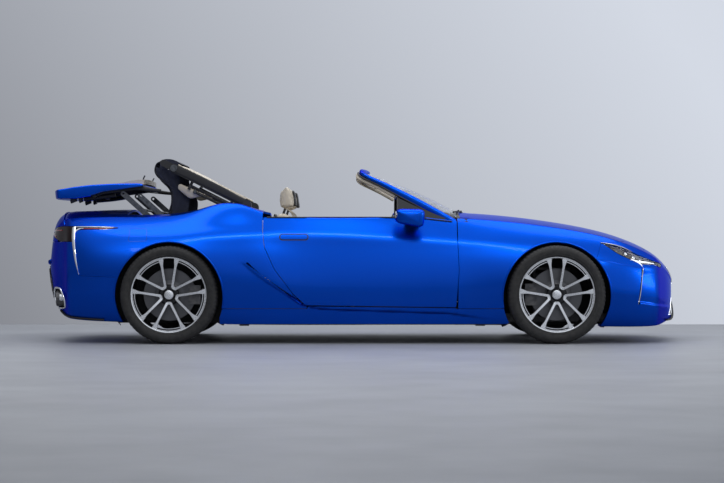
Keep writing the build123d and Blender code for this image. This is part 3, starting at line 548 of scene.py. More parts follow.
# ---------------------------------------------------------------- materials
class Finish:
    """A procedural material being made: its node tree, its shader and shortcuts."""

    def __init__(self, name, color, rough=0.5, metal=0.0, **sockets):
        self.m = bpy.data.materials.new(name)
        self.m.use_nodes = True
        self.tree = self.m.node_tree
        self.shader = self.tree.nodes["Principled BSDF"]
        self.set("Base Color", (*color, 1))
        self.set("Roughness", rough)
        self.set("Metallic", metal)
        for k, v in sockets.items():
            self.set(k.replace("_", " "), v)
        self.m.diffuse_color = (*color, 1)

    def set(self, socket, value):
        self.shader.inputs[socket].default_value = value

    def node(self, kind, **inputs):
        n = self.tree.nodes.new("ShaderNode" + kind)
        for k, v in inputs.items():
            k = k.replace("_", " ")
            if k in n.inputs:
                n.inputs[k].default_value = v
            else:
                setattr(n, k.replace(" ", "_"), v)
        return n

    def link(self, a, b):
        self.tree.links.new(a, b)

    def where(self, stretch=(1, 1, 1)):
        c, m = self.node("TexCoord"), self.node("Mapping")
        m.inputs["Scale"].default_value = stretch
        self.link(c.outputs["Object"], m.inputs["Vector"])
        return m.outputs["Vector"]

    def noise(self, scale, detail=4.0, stretch=(1, 1, 1)):
        n = self.node("TexNoise", Scale=scale, Detail=detail)
        self.link(self.where(stretch), n.inputs["Vector"])
        return n.outputs["Fac"]

    def cells(self, scale, stretch=(1, 1, 1)):
        n = self.node("TexVoronoi", Scale=scale)
        self.link(self.where(stretch), n.inputs["Vector"])
        return n.outputs["Distance"]

    def colours(self, fac, *stops):
        r = self.node("ValToRGB")
        e = r.color_ramp.elements
        for i, (at, col) in enumerate(stops):
            el = e[i] if i < 2 else e.new(at)
            el.position, el.color = at, (*col, 1)
        self.link(fac, r.inputs["Fac"])
        self.link(r.outputs["Color"], self.shader.inputs["Base Color"])
        return self

    def rough(self, fac, lo, hi):
        m = self.node("MapRange")
        m.inputs["To Min"].default_value, m.inputs["To Max"].default_value = lo, hi
        self.link(fac, m.inputs["Value"])
        self.link(m.outputs["Result"], self.shader.inputs["Roughness"])
        return self

    def bump(self, height, strength, distance=0.001):
        b = self.node("Bump", Strength=strength, Distance=distance)
        self.link(height, b.inputs["Height"])
        self.link(b.outputs["Normal"], self.shader.inputs["Normal"])
        return self


def tint(c, k):
    """Colour made k times as light, kept within 1."""
    return tuple(min(1.0, k * v) for v in c)


def make_finishes(paint, leather, cloth):
    """All finishes of the car, kept by plain name in MATS."""
    f = Finish("metallic_paint", paint, 0.28, 1.0, Coat_Weight=0.12, Coat_Roughness=0.04)
    f.set("Specular Tint", (0.10, 0.25, 0.80, 1))
    f.colours(f.cells(1400), (0.0, tint(paint, 1.25)), (0.6, tint(paint, 0.88))).rough(f.noise(3, 2),
            0.27, 0.33)
    MATS["paint"] = f.m
    f = Finish("moulded_black", (0.016, 0.016, 0.018), 0.55)
    MATS["black"] = f.rough(f.noise(40), 0.45, 0.65).bump(f.noise(900, 2), 0.25, 0.0003).m
    f = Finish("gloss_black", (0.006, 0.006, 0.008), 0.10, Coat_Weight=0.6)
    MATS["gloss"] = f.rough(f.noise(20), 0.08, 0.16).m
    f = Finish("tyre_rubber", (0.02, 0.02, 0.021), 0.75)
    f.colours(f.noise(35, 5), (0.3, (0.014, 0.014, 0.015)), (0.75, (0.034, 0.033, 0.032)))
    MATS["tyre"] = f.bump(f.noise(700, 3), 0.2, 0.0003).m
    f = Finish("machined_silver", (0.80, 0.81, 0.82), 0.25, 1.0, Coat_Weight=0.4, Coat_Roughness=0.06)
    MATS["silver"] = f.rough(f.noise(260, 3), 0.20, 0.34).bump(f.noise(900, 2), 0.04, 0.0002).m
    f = Finish("dark_wheel_paint", (0.014, 0.014, 0.016), 0.36, 0.5, Coat_Weight=0.25, Coat_Roughness=0.1)
    MATS["dark_wheel"] = f.rough(f.noise(90), 0.28, 0.42).m
    f = Finish("bright_trim", (0.85, 0.86, 0.87), 0.08, 1.0)
    MATS["chrome"] = f.rough(f.noise(50), 0.05, 0.12).m
    f = Finish("link_metal", (0.30, 0.31, 0.33), 0.4, 0.85)
    f.colours(f.noise(45, 5), (0.3, (0.07, 0.075, 0.085)), (0.8, (0.17, 0.18, 0.195)))
    MATS["link"] = f.bump(f.noise(500, 3), 0.15, 0.0003).m
    f = Finish("cast_iron", (0.12, 0.12, 0.125), 0.5, 0.8)
    MATS["iron"] = f.colours(f.noise(30, 6), (0.3, (0.08, 0.08, 0.085)), (0.8, (0.20, 0.195, 0.19))).m
    f = Finish("brake_disc_steel", (0.13, 0.13, 0.135), 0.4, 1.0)
    MATS["disc"] = f.rough(f.noise(120, 3), 0.34, 0.5).m
    f = Finish("chassis_black", (0.014, 0.014, 0.015), 0.6)
    MATS["chassis"] = f.rough(f.noise(25, 5), 0.5, 0.75).bump(f.noise(300, 3), 0.2, 0.0005).m
    f = Finish("cream_leather", leather, 0.45, Sheen_Weight=0.05)
    f.colours(f.noise(14), (0.3, tint(leather, 0.92)), (0.8, tint(leather, 1.04)))
    MATS["cream"] = f.bump(f.cells(420), 0.22, 0.0006).m
    f = Finish("dark_leather", (0.020, 0.020, 0.022), 0.5, Sheen_Weight=0.05)
    f.colours(f.noise(18), (0.3, (0.016, 0.016, 0.018)), (0.8, (0.028, 0.027, 0.028)))
    MATS["dark_leather"] = f.bump(f.cells(420), 0.22, 0.0006).m
    f = Finish("carpet", (0.045, 0.043, 0.042), 0.95, Sheen_Weight=0.2)
    f.colours(f.noise(500, 3), (0.3, (0.028, 0.027, 0.026)), (0.8, (0.070, 0.067, 0.064)))
    MATS["carpet"] = f.bump(f.noise(1200, 2), 0.6, 0.001).m
    f = Finish("smoked_red_lens", (0.010, 0.002, 0.003), 0.12, IOR=1.33)
    MATS["smoke"] = f.colours(f.cells(180), (0.1, (0.016, 0.002, 0.003)), (0.7, (0.005, 0.001, 0.002))).m
    f = Finish("cream_seam", tint(leather, 0.62), 0.6)
    MATS["seam"] = f.bump(f.noise(800), 0.3, 0.0004).m
    f = Finish("roof_cloth", cloth, 0.85, Sheen_Weight=0.15)
    w = f.node("TexWave", wave_type="BANDS", bands_direction="Y", Scale=420)
    v = f.node("TexWave", wave_type="BANDS", bands_direction="DIAGONAL", Scale=300)
    c = f.where()
    f.link(c, w.inputs["Vector"])
    f.link(c, v.inputs["Vector"])
    m = f.node("Math", operation="MULTIPLY")
    f.link(w.outputs["Fac"], m.inputs[0])
    f.link(v.outputs["Fac"], m.inputs[1])
    f.colours(m.outputs["Value"], (0.0, tint(cloth, 0.6)), (0.9, tint(cloth, 1.6)))
    MATS["cloth"] = f.bump(m.outputs["Value"], 0.5, 0.0006).m
    f = Finish("screen_glass", (0.72, 0.82, 0.84), 0.02, Transmission_Weight=1.0, IOR=1.45, Alpha=0.4)
    MATS["glass"] = f.rough(f.noise(5), 0.01, 0.03).m
    f = Finish("lamp_cover", (0.92, 0.94, 0.96), 0.03, Transmission_Weight=1.0, IOR=1.40, Alpha=0.25)
    MATS["lamp_cover"] = f.rough(f.noise(8), 0.02, 0.04).m
    f = Finish("red_lens", (0.42, 0.006, 0.01), 0.15, Coat_Weight=1.0)
    MATS["red"] = f.colours(f.cells(260), (0.1, (0.55, 0.015, 0.02)), (0.7, (0.28, 0.003, 0.006))).m
    f = Finish("light_bar", (0.92, 0.95, 1.0), 0.25, Coat_Weight=0.5, Emission_Strength=0.8)
    f.set("Emission Color", (0.9, 0.95, 1.0, 1))
    MATS["light"] = f.rough(f.noise(60), 0.2, 0.35).m
    f = Finish("lamp_inside", (0.22, 0.20, 0.18), 0.3, 0.8)
    MATS["lamp_inside"] = f.colours(f.noise(40), (0.3, (0.08, 0.075, 0.07)), (0.8, (0.38, 0.34, 0.30))).m
    f = Finish("engine_alloy", (0.35, 0.35, 0.36), 0.5, 0.7)
    MATS["alloy"] = f.bump(f.noise(220, 4), 0.3, 0.0006).rough(f.noise(30), 0.4, 0.6).m


# ---------------------------------------------------------------- body panels
STEP = 0.011
S_BOTTOM = np.linspace(-1, 0, 60)
S_LOW = np.linspace(0, 1, 30)
S_HIGH = np.linspace(1, 2, 50)
S_TOP = np.linspace(2, 3, 62)


def t_range(x_front, x_rear, step=STEP):
    """Even steps of t from one x to another."""
    a, b = float(t_of(x_front)), float(t_of(x_rear))
    return np.linspace(a, b, int((b - a) / step) + 2)


def s_rows(*parts):
    """The given rows of s as one rising row."""
    return np.unique(np.concatenate(parts))


def lamp_keep(p, grow):
    """Positive outside the headlamp's opening, which is cut through the shell outward of the nose's middle part."""
    return -both_in(side_in(p, LAMP, grow), 0.430 - grow - np.abs(p[..., 1]))


def bonnet_plan(p, grow=0.0):
    """Signed distance from the bonnet's outline in the plan view."""
    return outline(BONNET, p[..., 0], p[..., 1], grow)


def wing_region(p):
    """Front wing: behind the bumper, clear of the bonnet, door, arch, lamp and sill."""
    b = bpy.context.scene.car_body
    cowl = both_in(p[..., 0] - COWL_X + b.shut_gap / 2, np.abs(p[..., 1]) - COWL_HALF)
    return both_in(side_in(p, FENDER, -b.seam_gap / 2), -bonnet_plan(p, b.shut_gap),
                   -side_in(p, DOOR, b.shut_gap),
                   -arch_in(p, FRONT_ARCH), lamp_keep(p, b.seam_gap), SILL_Z - p[..., 2], -cowl,
                   0.3 - np.abs(p[..., 1]))


def door_region(p):
    """Door skin: the door's outline below the belt."""
    return both_in(side_in(p, DOOR), p[..., 2] - BELT_Z, DOOR_INSIDE - np.abs(p[..., 1]))


def lens_region(p, grow=0.0):
    """Rear lamp: behind the blade on the side and round onto the tail, down to a point inboard."""
    return both_in(side_in(p, TAIL_LENS, grow), 0.27 - grow - np.abs(p[..., 1]),
                   outline(TAIL_LENS_BACK, np.abs(p[..., 1]), p[..., 2], grow))


def quarter_region(p):
    """Rear quarter: from the door to the bumper and lid, with its wheel arch, sill, lamp and air slot cut out."""
    b = bpy.context.scene.car_body
    return both_in(0.6 + b.shut_gap / 2 - np.abs(p[..., 1]), p[..., 0] + 0.39,
                   -side_in(p, DOOR, b.shut_gap),
                   -side_in(p, REAR_BUMPER, b.seam_gap), -lens_region(p, b.seam_gap),
                   -side_in(p, TAIL_STRIP, b.seam_gap),
                   -arch_in(p, REAR_ARCH), -side_in(p, SLOT),
                   SILL_Z - p[..., 2] - 9 * (p[..., 0] < -1.1))


def front_bumper_region(p):
    """Front bumper: all the nose ahead of the wings, with the grille, lamps and side intakes cut out."""
    b = bpy.context.scene.car_body
    y = np.abs(p[..., 1])
    grille = both_in(outline(GRILLE, p[..., 1], p[..., 2]), 2.1 - p[..., 0])
    intake = both_in(side_in(p, INTAKE), 0.6 - y)
    under = both_in(p[..., 0] - 1.88, y - 0.64, p[..., 2] - 0.5)
    wing = both_in(side_in(p, FENDER, b.seam_gap / 2), 0.3 - y)
    return both_in(1.69 - p[..., 0], -wing, -bonnet_plan(p, b.shut_gap),
                   lamp_keep(p, b.seam_gap), -arch_in(p, FRONT_ARCH), -grille, -intake, -under,
                   -both_in(p[..., 0] - 2.15, 0.75 - p[..., 2], y - 0.3))


def rear_bumper_region(p):
    """Rear bumper: behind the rear arches and under the lid, with the lamps and tail pipes cut out."""
    b = bpy.context.scene.car_body
    y = np.abs(p[..., 1])
    pipe = both_in(outline(PIPE_HOLE, y, p[..., 2]), p[..., 0] + 2.10)
    under = both_in(-p[..., 0] - 1.88, y - 0.64, p[..., 2] - 0.5)
    return both_in(side_in(p, REAR_BUMPER), -lens_region(p, b.seam_gap), -arch_in(p, REAR_ARCH), -pipe,
                   -under)


PIPE_HOLE = np.array([(0.525, 0.250), (0.690, 0.262), (0.700, 0.330), (0.660, 0.408), (0.560, 0.412),
                      (0.510, 0.340)])


def lid_region(p):
    """Boot lid: between the quarters, above the bumper, with its part of the lamps cut out."""
    return both_in(p[..., 0] + 1.750, np.abs(p[..., 1]) - 0.600, 0.757 - p[..., 2],
                   -lens_region(p, 0.0016))


def rows_on(s, side):
    """The rows of s as they are, or the same ones on the car's right side."""
    return s if side > 0 else np.sort(6 - s)


def sides():
    """Name, sign along Y and door body of each side."""
    return (("left", 1, "door_l"), ("right", -1, "door_r"))


def add_panel(name, region, t, s, body_name, node, thick=None):
    """One painted panel that stands for its solid."""
    b = bpy.context.scene.car_body
    o = skin(name, region, t, s, thick or b.thickness)
    return put(o, "paint", body_name, [node])


def add_pair(name, region, t, s, thick=None):
    """A painted panel on each side; the door's panel rides on the door."""
    for hand, side, door in sides():
        where = door if name == "door" else "body"
        add_panel(f"{name}_skin_{hand}", region, t, rows_on(s, side), where, f"{name}_{hand}", thick)


class PanelOperator:
    """What the panel operators share."""

    bl_options = {"REGISTER", "UNDO"}


class CAR_OT_wings(PanelOperator, bpy.types.Operator):
    """Front wings from the doors to the lamps"""

    bl_idname = "car.wings"
    bl_label = "Front wings"

    def execute(self, context):
        t = t_range(2.02, 0.715)
        s = s_rows(S_LOW[6:], S_HIGH, S_TOP[:40])
        add_pair("wing", wing_region, t, s)
        return {"FINISHED"}


class CAR_OT_doors(PanelOperator, bpy.types.Operator):
    """Door skins with a deep edge all round"""

    bl_idname = "car.doors"
    bl_label = "Doors"

    def execute(self, context):
        t = t_range(0.74, -0.73)
        s = s_rows(S_LOW[6:], S_HIGH, S_TOP[:10])
        add_pair("door", door_region, t, s, 0.03)
        return {"FINISHED"}


class CAR_OT_quarters(PanelOperator, bpy.types.Operator):
    """Rear quarters with their haunch and air slot"""

    bl_idname = "car.quarters"
    bl_label = "Rear quarters"

    def execute(self, context):
        t = t_range(-0.38, -2.30)
        s = s_rows(S_LOW[4:], S_HIGH, S_TOP[:30])
        add_pair("quarter", quarter_region, t, s)
        return {"FINISHED"}


class CAR_OT_bumpers(PanelOperator, bpy.types.Operator):
    """Front and rear bumpers with their domed ends"""

    bl_idname = "car.bumpers"
    bl_label = "Bumpers"

    def execute(self, context):
        whole = s_rows(S_BOTTOM, S_LOW, S_HIGH, S_TOP)
        s = s_rows(whole, rows_on(whole, -1))
        t = np.concatenate([np.linspace(-CAP, 0, 28)[1:-1], t_range(2.392, 1.68)])
        add_panel("front_bumper_skin", front_bumper_region, t, s, "body", "front_bumper")
        t = np.concatenate([t_range(-1.69, -2.376), T_END + np.linspace(0, CAP, 28)[1:-1]])
        add_panel("rear_bumper_skin", rear_bumper_region, t, s, "body", "rear_bumper")
        return {"FINISHED"}


def cowl_region(p):
    """Painted strip between the bonnet and the windscreen's foot."""
    gap = bpy.context.scene.car_body.shut_gap
    return both_in(p[..., 0] - COWL_X + gap / 2, 0.752 - p[..., 0], np.abs(p[..., 1]) - COWL_HALF + 0.001)


def vent_region(p):
    """Black air inlet across the car under the windscreen."""
    return both_in(p[..., 0] - 0.751, 0.715 - p[..., 0], np.abs(p[..., 1]) - COWL_HALF + 0.001)


class CAR_OT_lids(PanelOperator, bpy.types.Operator):
    """Bonnet, boot lid and the strips under the windscreen"""

    bl_idname = "car.lids"
    bl_label = "Bonnet and boot lid"

    def execute(self, context):
        s = s_rows(S_HIGH[40:], S_TOP)
        s = s_rows(s, rows_on(s, -1))
        add_panel("bonnet_skin", bonnet_plan, t_range(2.17, 0.80), s, "bonnet_lid", "bonnet")
        s = s_rows(S_HIGH[20:], S_TOP)
        s = s_rows(s, rows_on(s, -1))
        add_panel("boot_lid_skin", lid_region, t_range(-1.74, -2.376), s, "body", "boot_lid")
        put(skin("cowl_strip", cowl_region, t_range(0.83, 0.74, 0.006), s, 0.004, lift=0.002), "paint",
            "body")
        put(skin("cowl_vent", vent_region, t_range(0.76, 0.70, 0.006), s, 0.004, lift=0.0014), "black",
            "body")
        return {"FINISHED"}


# ---------------------------------------------------------------- sills and arch lips
def sill_region(p):
    """Sill panel under the door: between the arches, below the door and above the floor's edge."""
    b = bpy.context.scene.car_body
    x = p[..., 0]
    rise = np.where((x > -0.386) & (x < 0.711), 0.0195 - 0.0135 * (x + 0.398) / 1.113, 0)
    return both_in(p[..., 2] - 0.2605 - rise + b.seam_gap / 2, 0.148 - p[..., 2], x - 1.108, -1.036 - x,
                   -arch_in(p, FRONT_ARCH, 0.004), -arch_in(p, REAR_ARCH, 0.004), 0.7 - np.abs(p[..., 1]))


def arch_lip(arch, side, a0, a1):
    """Rounded lip along a wheel arch: an oval carried round the arch where it meets the body's side."""
    a = np.radians(np.linspace(a0, a1, 90))
    x, z = arch[0] + (arch[2] + 0.004) * np.cos(a), arch[1] + (arch[2] + 0.004) * np.sin(a)
    s = np.linspace(0, 2, 201)
    p = body(t_of(x)[:, None], s[None])
    i = np.abs(p[..., 2] - z[:, None]).argmin(1)
    y = p[np.arange(len(x)), i, 1]
    path = np.stack([x, (y - 0.007) * side, z], -1)
    radial = np.stack([np.cos(a), 0 * a, np.sin(a)], -1)
    lip = bpy.context.scene.car_body.lip
    return swept(path, ring(0.022, lip * 0.62, 14, 2.6), up=radial)


def wheel_house(arch, side, inner, down):
    """Liner of a wheel arch: a band round the wheel from the body's side to an inner wall at the given distance from
    the middle, and that wall, whose edge is the band's circle cut off level at the bottom."""
    r, low = arch[2] + 0.008, arch[1] - down
    edge = math.asin((arch[1] - low) / r)
    a = np.linspace(-edge, math.pi + edge, 70)
    way = np.stack([np.cos(a), 0 * a, np.sin(a)], -1)
    place = np.array([arch[0], 0, arch[1]]) + r * way
    outer, _ = on_side(place[:, 0], place[:, 2], -0.018)
    w = np.linspace(0, 1, 12)[None, :, None]
    wall_edge = place + (0, inner, 0)
    swell = 0.040 * ease(w, 0, 0.30) * way[:, None]
    band = (outer[:, None] * (1 - w) + wall_edge[:, None] * w + swell) * (1, side, 1)
    r = r + 0.040
    h = np.linspace(low, arch[1] + r, 30)[None]
    wide = np.sqrt(np.maximum(r ** 2 - (h - arch[1]) ** 2, 0)) * np.linspace(-1, 1, 30)[:, None]
    wall = np.stack([arch[0] + wide, 0 * wide + inner * side, h + 0 * wide], -1)
    return [plate(band, 0.004 * side), between(wall, wall - (0, 0.004 * side, 0))]


class CAR_OT_sills(bpy.types.Operator):
    """Painted sills, the rounded lips of the wheel arches and their black liners"""

    bl_idname = "car.sills"
    bl_label = "Sills and arch lips"

    def execute(self, context):
        t = t_range(1.13, -1.06)
        for name, side, _ in sides():
            put(skin("sill_" + name, sill_region, t, rows_on(S_LOW, side), 0.003, lift=0.004), "paint",
                "body")
            put(grids("arch_lip_front_" + name, [arch_lip(FRONT_ARCH, side, -11, 183)], 60), "paint",
                "body")
            put(grids("arch_lip_rear_" + name, [arch_lip(REAR_ARCH, side, -9, 186)], 60), "paint", "body")
            put(grids("wheel_house_front_" + name, wheel_house(FRONT_ARCH, side, 0.40, 0.224)), "chassis",
                "body")
            put(grids("wheel_house_rear_" + name, wheel_house(REAR_ARCH, side, 0.62, 0.205)), "chassis",
                "body")
        return {"FINISHED"}


# ---------------------------------------------------------------- wheels
def tyre_grid(r, w, grooves):
    """Tyre turned about Y: a bulged sidewall with fine ribs, a crowned tread with grooves round it, and cross cuts
    in the shoulders where the angle's saw wave is high."""
    h = w / 2
    wall = [(0.2835, h - 0.016), (0.2875, h - 0.008), (0.2935, h - 0.0035), (0.2965, h - 0.0045),
            (0.3000, h - 0.0020),
            (0.3150, h + 0.0003), (0.3260, h), (0.3275, h - 0.0014), (0.3290, h - 0.0006),
            (0.3420, h - 0.0040),
            (0.3530, h - 0.0115), (r - 0.0050, h - 0.0205), (r - 0.0028, h - 0.0260)]
    band = np.linspace(h - 0.030, -h + 0.030, 49)
    crown = r - 0.0022 * (band / (h - 0.03)) ** 2
    centre = np.linspace(h - 0.058, -h + 0.058, grooves)
    dip = np.clip(1.7 - np.abs(band[:, None] - centre[None]).min(1) / 0.0030, 0, 1)
    crown = crown - 0.0065 * dip
    tread = np.stack([crown, band], -1)
    inner = [(0.2835, -h + 0.016), (0.2700, -h + 0.020), (0.2690, 0), (0.2700, h - 0.020),
             (0.2835, h - 0.016)]
    other = [(a, -b) for a, b in wall[::-1]]
    profile = np.concatenate([wall, tread, other, inner])
    g, cu, cv = turned(profile, n=288)
    a = np.arange(288) / 288 * 72
    cut = ((a % 1) < 0.26)[:, None] & ((np.abs(g[0, :, 1]) > h - 0.052) & (np.hypot(g[0, :, 0],
            g[0, :, 2]) > r - 0.012))[None]
    k = np.where(cut, 1 - 0.0045 / r, 1.0)
    g[..., 0] *= k
    g[..., 2] *= k
    return g, cu, cv


def polar(r, deg, y=0.0):
    """Point in the wheel's plane at radius r and an angle in degrees, y along the axle."""
    a = np.radians(deg)
    return np.stack([r * np.cos(a), y + 0 * a, r * np.sin(a)], -1)


def wheel_parts(w, set_):
    """Dark and bright grids of one wheel about its own centre, outer face towards +Y."""
    h = w / 2
    n = set_.spokes
    spread = math.degrees(set_.spread) / 2
    barrel = [(0.2700, h - 0.0205), (0.2720, h - 0.0165), (0.2800, h - 0.0150), (0.2828, h - 0.0180),
              (0.2825, h - 0.024),
              (0.2765, h - 0.032), (0.2735, h - 0.10), (0.2750, -h + 0.05), (0.2828, -h + 0.024),
              (0.2828, -h + 0.017),
              (0.2790, -h + 0.014), (0.2700, -h + 0.019), (0.2640, -h + 0.045), (0.2600, 0),
              (0.2615, h - 0.050),
              (0.2700, h - 0.0205)]
    hub = [(0, h - 0.092), (0.076, h - 0.092), (0.079, h - 0.086), (0.077, h - 0.055),
           (0.070, h - 0.0475),
           (0.046, h - 0.0455), (0.040, h - 0.0380), (0, h - 0.0380)]
    lip = [(0.2705, h - 0.0200), (0.2722, h - 0.0140), (0.2795, h - 0.0125), (0.2826, h - 0.0155),
           (0.2826, h - 0.0185),
           (0.2705, h - 0.0210), (0.2705, h - 0.0200)]
    cap = [(0, h - 0.040), (0.033, h - 0.040), (0.0345, h - 0.0375), (0.033, h - 0.0335),
           (0.026, h - 0.0310),
           (0.012, h - 0.0300), (0, h - 0.0298)]
    dark = [turned(barrel, n=128), turned(hub, n=64)]
    bright = [turned(lip, n=160), turned(cap, n=48)]
    arm = [(0.50, -0.0015), (0.42, -0.034), (0.20, -0.050), (-0.20, -0.050), (-0.42, -0.034),
           (-0.50, -0.0015)]
    face = [(0.47, 0.0), (0.42, 0.0022), (-0.42, 0.0022), (-0.47, 0.0), (-0.46, -0.0022), (0.46, -0.0022)]
    u = np.linspace(0, 1, 22)[:, None]
    for k in range(n):
        mid = -90 + 360 / n * k
        for d in (-1, 1):
            a, b = polar(0.060, mid + d * 11, h - 0.0375), polar(0.2725, mid + d * spread, h - 0.0215)
            path = a + (b - a) * u
            path[:, 1] += 0.0045 * np.sin(np.pi * u[:, 0])
            wide = set_.face * (0.95 + 0.10 * (1 - u[:, 0]) ** 2 + 1.15 * ease(u[:, 0], 0.70, 1.0))
            size = np.stack([wide, 1 + 0 * wide], -1)
            dark.append(swept(path, arm, up=(0, 1, 0), scale=size))
            bright.append(swept(path, face, up=(0, 1, 0), scale=size))
        for r, wide, deep in ((0.2690, 0.0105, 0.020), (0.2520, 0.0050, 0.014)):
            ang = np.linspace(mid - spread + 1.0, mid + spread - 1.0, 26)
            arc_ = polar(r, ang, h - 0.0225)
            bright.append(swept(arc_, [(wide / 2, 0.001), (-wide / 2, 0.001), (-wide / 2, -0.004),
                                       (wide / 2, -0.004)], up=(0, 1, 0)))
            dark.append(swept(arc_, [(wide / 2, -0.004), (-wide / 2, -0.004), (-wide / 2, -deep),
                                     (wide / 2, -deep)], up=(0, 1, 0)))
        pad = polar(0.064, np.linspace(mid - 13, mid + 13, 10), h - 0.0375)
        bright.append(swept(pad, [(0.012, 0.0018), (-0.009, 0.0018), (-0.010, -0.004), (0.013, -0.004)],
                            up=(0, 1, 0)))
        dark.append(swept(pad, [(0.013, -0.003), (-0.010, -0.003), (-0.010, -0.040), (0.013, -0.040)],
                          up=(0, 1, 0)))
        nut = [(0, -0.012), (0.0105, -0.012), (0.0105, 0.0), (0.0085, 0.0025), (0.006, 0.0030),
               (0, 0.0030)]
        dark.append(turned(nut, polar(0.0555, mid + 180 / n, h - 0.044), "y", 6))
    return dark, bright


def disc_parts(w):
    """Vented brake disc with its hat: two rings on short vanes, about the wheel's centre."""
    m = w / 2 - 0.122
    ring_ = [(0.112, m + 0.015), (0.193, m + 0.015), (0.195, m + 0.013), (0.195, m + 0.006),
             (0.190, m + 0.005),
             (0.190, m - 0.005), (0.195, m - 0.006), (0.195, m - 0.013), (0.193, m - 0.015),
             (0.112, m - 0.015),
             (0.112, m + 0.015)]
    hat = [(0.030, m + 0.030), (0.078, m + 0.030), (0.084, m + 0.026), (0.086, m + 0.012),
           (0.114, m + 0.008),
           (0.114, m - 0.008), (0.074, m - 0.010), (0.072, m + 0.018), (0.030, m + 0.020),
           (0.030, m + 0.030)]
    return [turned(ring_, n=128), turned(hat)]


def at_wheel(parts, centre, side):
    """Parts of a wheel made about its centre, moved to their axle on one side of the car."""
    return [((g + np.array(centre)) * (1, side, 1), cu, cv) for g, cu, cv in parts]


class CAR_OT_wheels(bpy.types.Operator):
    """Four wheels: tyres with grooved tread, paired machined arms, bare centre caps, nuts and brake discs"""

    bl_idname = "car.wheels"
    bl_label = "Wheels"

    def execute(self, context):
        set_ = context.scene.car_wheels
        for where, centre, r, w, hubs in (("front", FRONT_WHEEL, *FRONT_TYRE, ("wheel_fl", "wheel_fr")),
                                          ("rear", REAR_WHEEL, *REAR_TYRE, ("wheel_rl", "wheel_rr"))):
            dark, bright = wheel_parts(w, set_)
            for side, hand, hub in ((1, "left", hubs[0]), (-1, "right", hubs[1])):
                tag = f"{where}_{hand}"
                tyre = at_wheel([tyre_grid(r, w, set_.grooves)], centre, side)
                put(grids("tyre_skin_" + tag, tyre, 32), "tyre", hub, ["tyre_" + tag])
                put(grids("wheel_dark_" + tag, at_wheel(dark, centre, side)), "dark_wheel", hub,
                    ["rim_" + tag])
                put(grids("wheel_bright_" + tag, at_wheel(bright, centre, side)), "silver", hub)
                put(grids("brake_disc_" + tag, at_wheel(disc_parts(w), centre, side)), "disc", hub)
        return {"FINISHED"}


# ---------------------------------------------------------------- padded and rounded forms
def rounded(points, n=120, soft=6):
    """n even points along a closed outline, its corners rounded by averaging each point with its neighbours."""
    p = np.asarray(points, float)
    q = np.concatenate([p, p[:1]])
    d = np.concatenate([[0], np.cumsum(np.linalg.norm(np.diff(q, axis=0), axis=1))])
    u = np.linspace(0, d[-1], n, endpoint=False)
    r = np.stack([np.interp(u, d, q[:, k]) for k in range(q.shape[1])], -1)
    for _ in range(soft):
        r = (np.roll(r, 1, 0) + 2 * r + np.roll(r, -1, 0)) / 4
    return r


def loaf(profile, y0, y1, edge=0.03, n=120, soft=6, mid=5, rows=6, crown=0.0):
    """Rings of an outline (x, z) carried from y0 to y1. Near each end the outline is drawn in along its own normal by
    a quarter circle of radius edge; a crown swells the middle of the length."""
    q = rounded(profile, n, soft)
    d = np.roll(q, -1, 0) - np.roll(q, 1, 0)
    d /= np.maximum(np.linalg.norm(d, axis=1, keepdims=True), 1e-12)
    area = (q[:, 0] * np.roll(q[:, 1], -1) - np.roll(q[:, 0], -1) * q[:, 1]).sum()
    out = np.stack([d[:, 1], -d[:, 0]], -1) * np.sign(area)
    a = np.linspace(0, np.pi / 2, rows)
    y = np.concatenate([y0 + edge * (1 - np.cos(a)), np.linspace(y0 + edge, y1 - edge, mid + 2)[1:-1],
                        (y1 - edge * (1 - np.cos(a)))[::-1]])
    inset = np.concatenate([edge * (1 - np.sin(a)), np.zeros(mid), (edge * (1 - np.sin(a)))[::-1]])
    v = (y - (y0 + y1) / 2) / ((y1 - y0) / 2)
    inset = inset - crown * (1 - v ** 2)
    p = q[None] - out[None] * inset[:, None, None]
    return np.stack([p[..., 0], np.broadcast_to(y[:, None], p.shape[:2]), p[..., 1]], -1)


def loaves(name, parts, smooth_deg=50):
    """One object from several stacks of rings, each closed by a flat face at its two ends."""
    verts, faces, n = [], [], 0
    for g in parts:
        nu, nv = g.shape[:2]
        faces += (grid_faces(nu, nv, False, True) + n).tolist()
        faces += [list(range(n + nv - 1, n - 1, -1)), list(range(n + (nu - 1) * nv, n + nu * nv))]
        verts.append(g.reshape(-1, 3))
        n += nu * nv
    o = new_object(name, np.concatenate(verts), faces)
    b = bmesh.new()
    b.from_mesh(o.data)
    bmesh.ops.triangulate(b, faces=[f for f in b.faces if len(f.verts) > 4])
    bmesh.ops.recalc_face_normals(b, faces=b.faces)
    b.to_mesh(o.data)
    b.free()
    smooth_faces(o.data)
    o.data.set_sharp_from_angle(angle=math.radians(smooth_deg))
    return o


def second_finish(o, material, pick):
    """Gives the faces that the test picks, by their middle and normal, another finish of the same piece."""
    m = o.data
    c, n = np.empty(len(m.polygons) * 3), np.empty(len(m.polygons) * 3)
    m.polygons.foreach_get("center", c)
    m.polygons.foreach_get("normal", n)
    m.materials.append(MATS[material])
    index = np.where(pick(c.reshape(-1, 3), n.reshape(-1, 3)), len(m.materials) - 1, 0)
    m.polygons.foreach_set("material_index", index.astype(np.int32))
    return o


PAD_PRESSURE = 4.0
PAD_VOXEL = 0.0075
PAD_FRAMES = 20


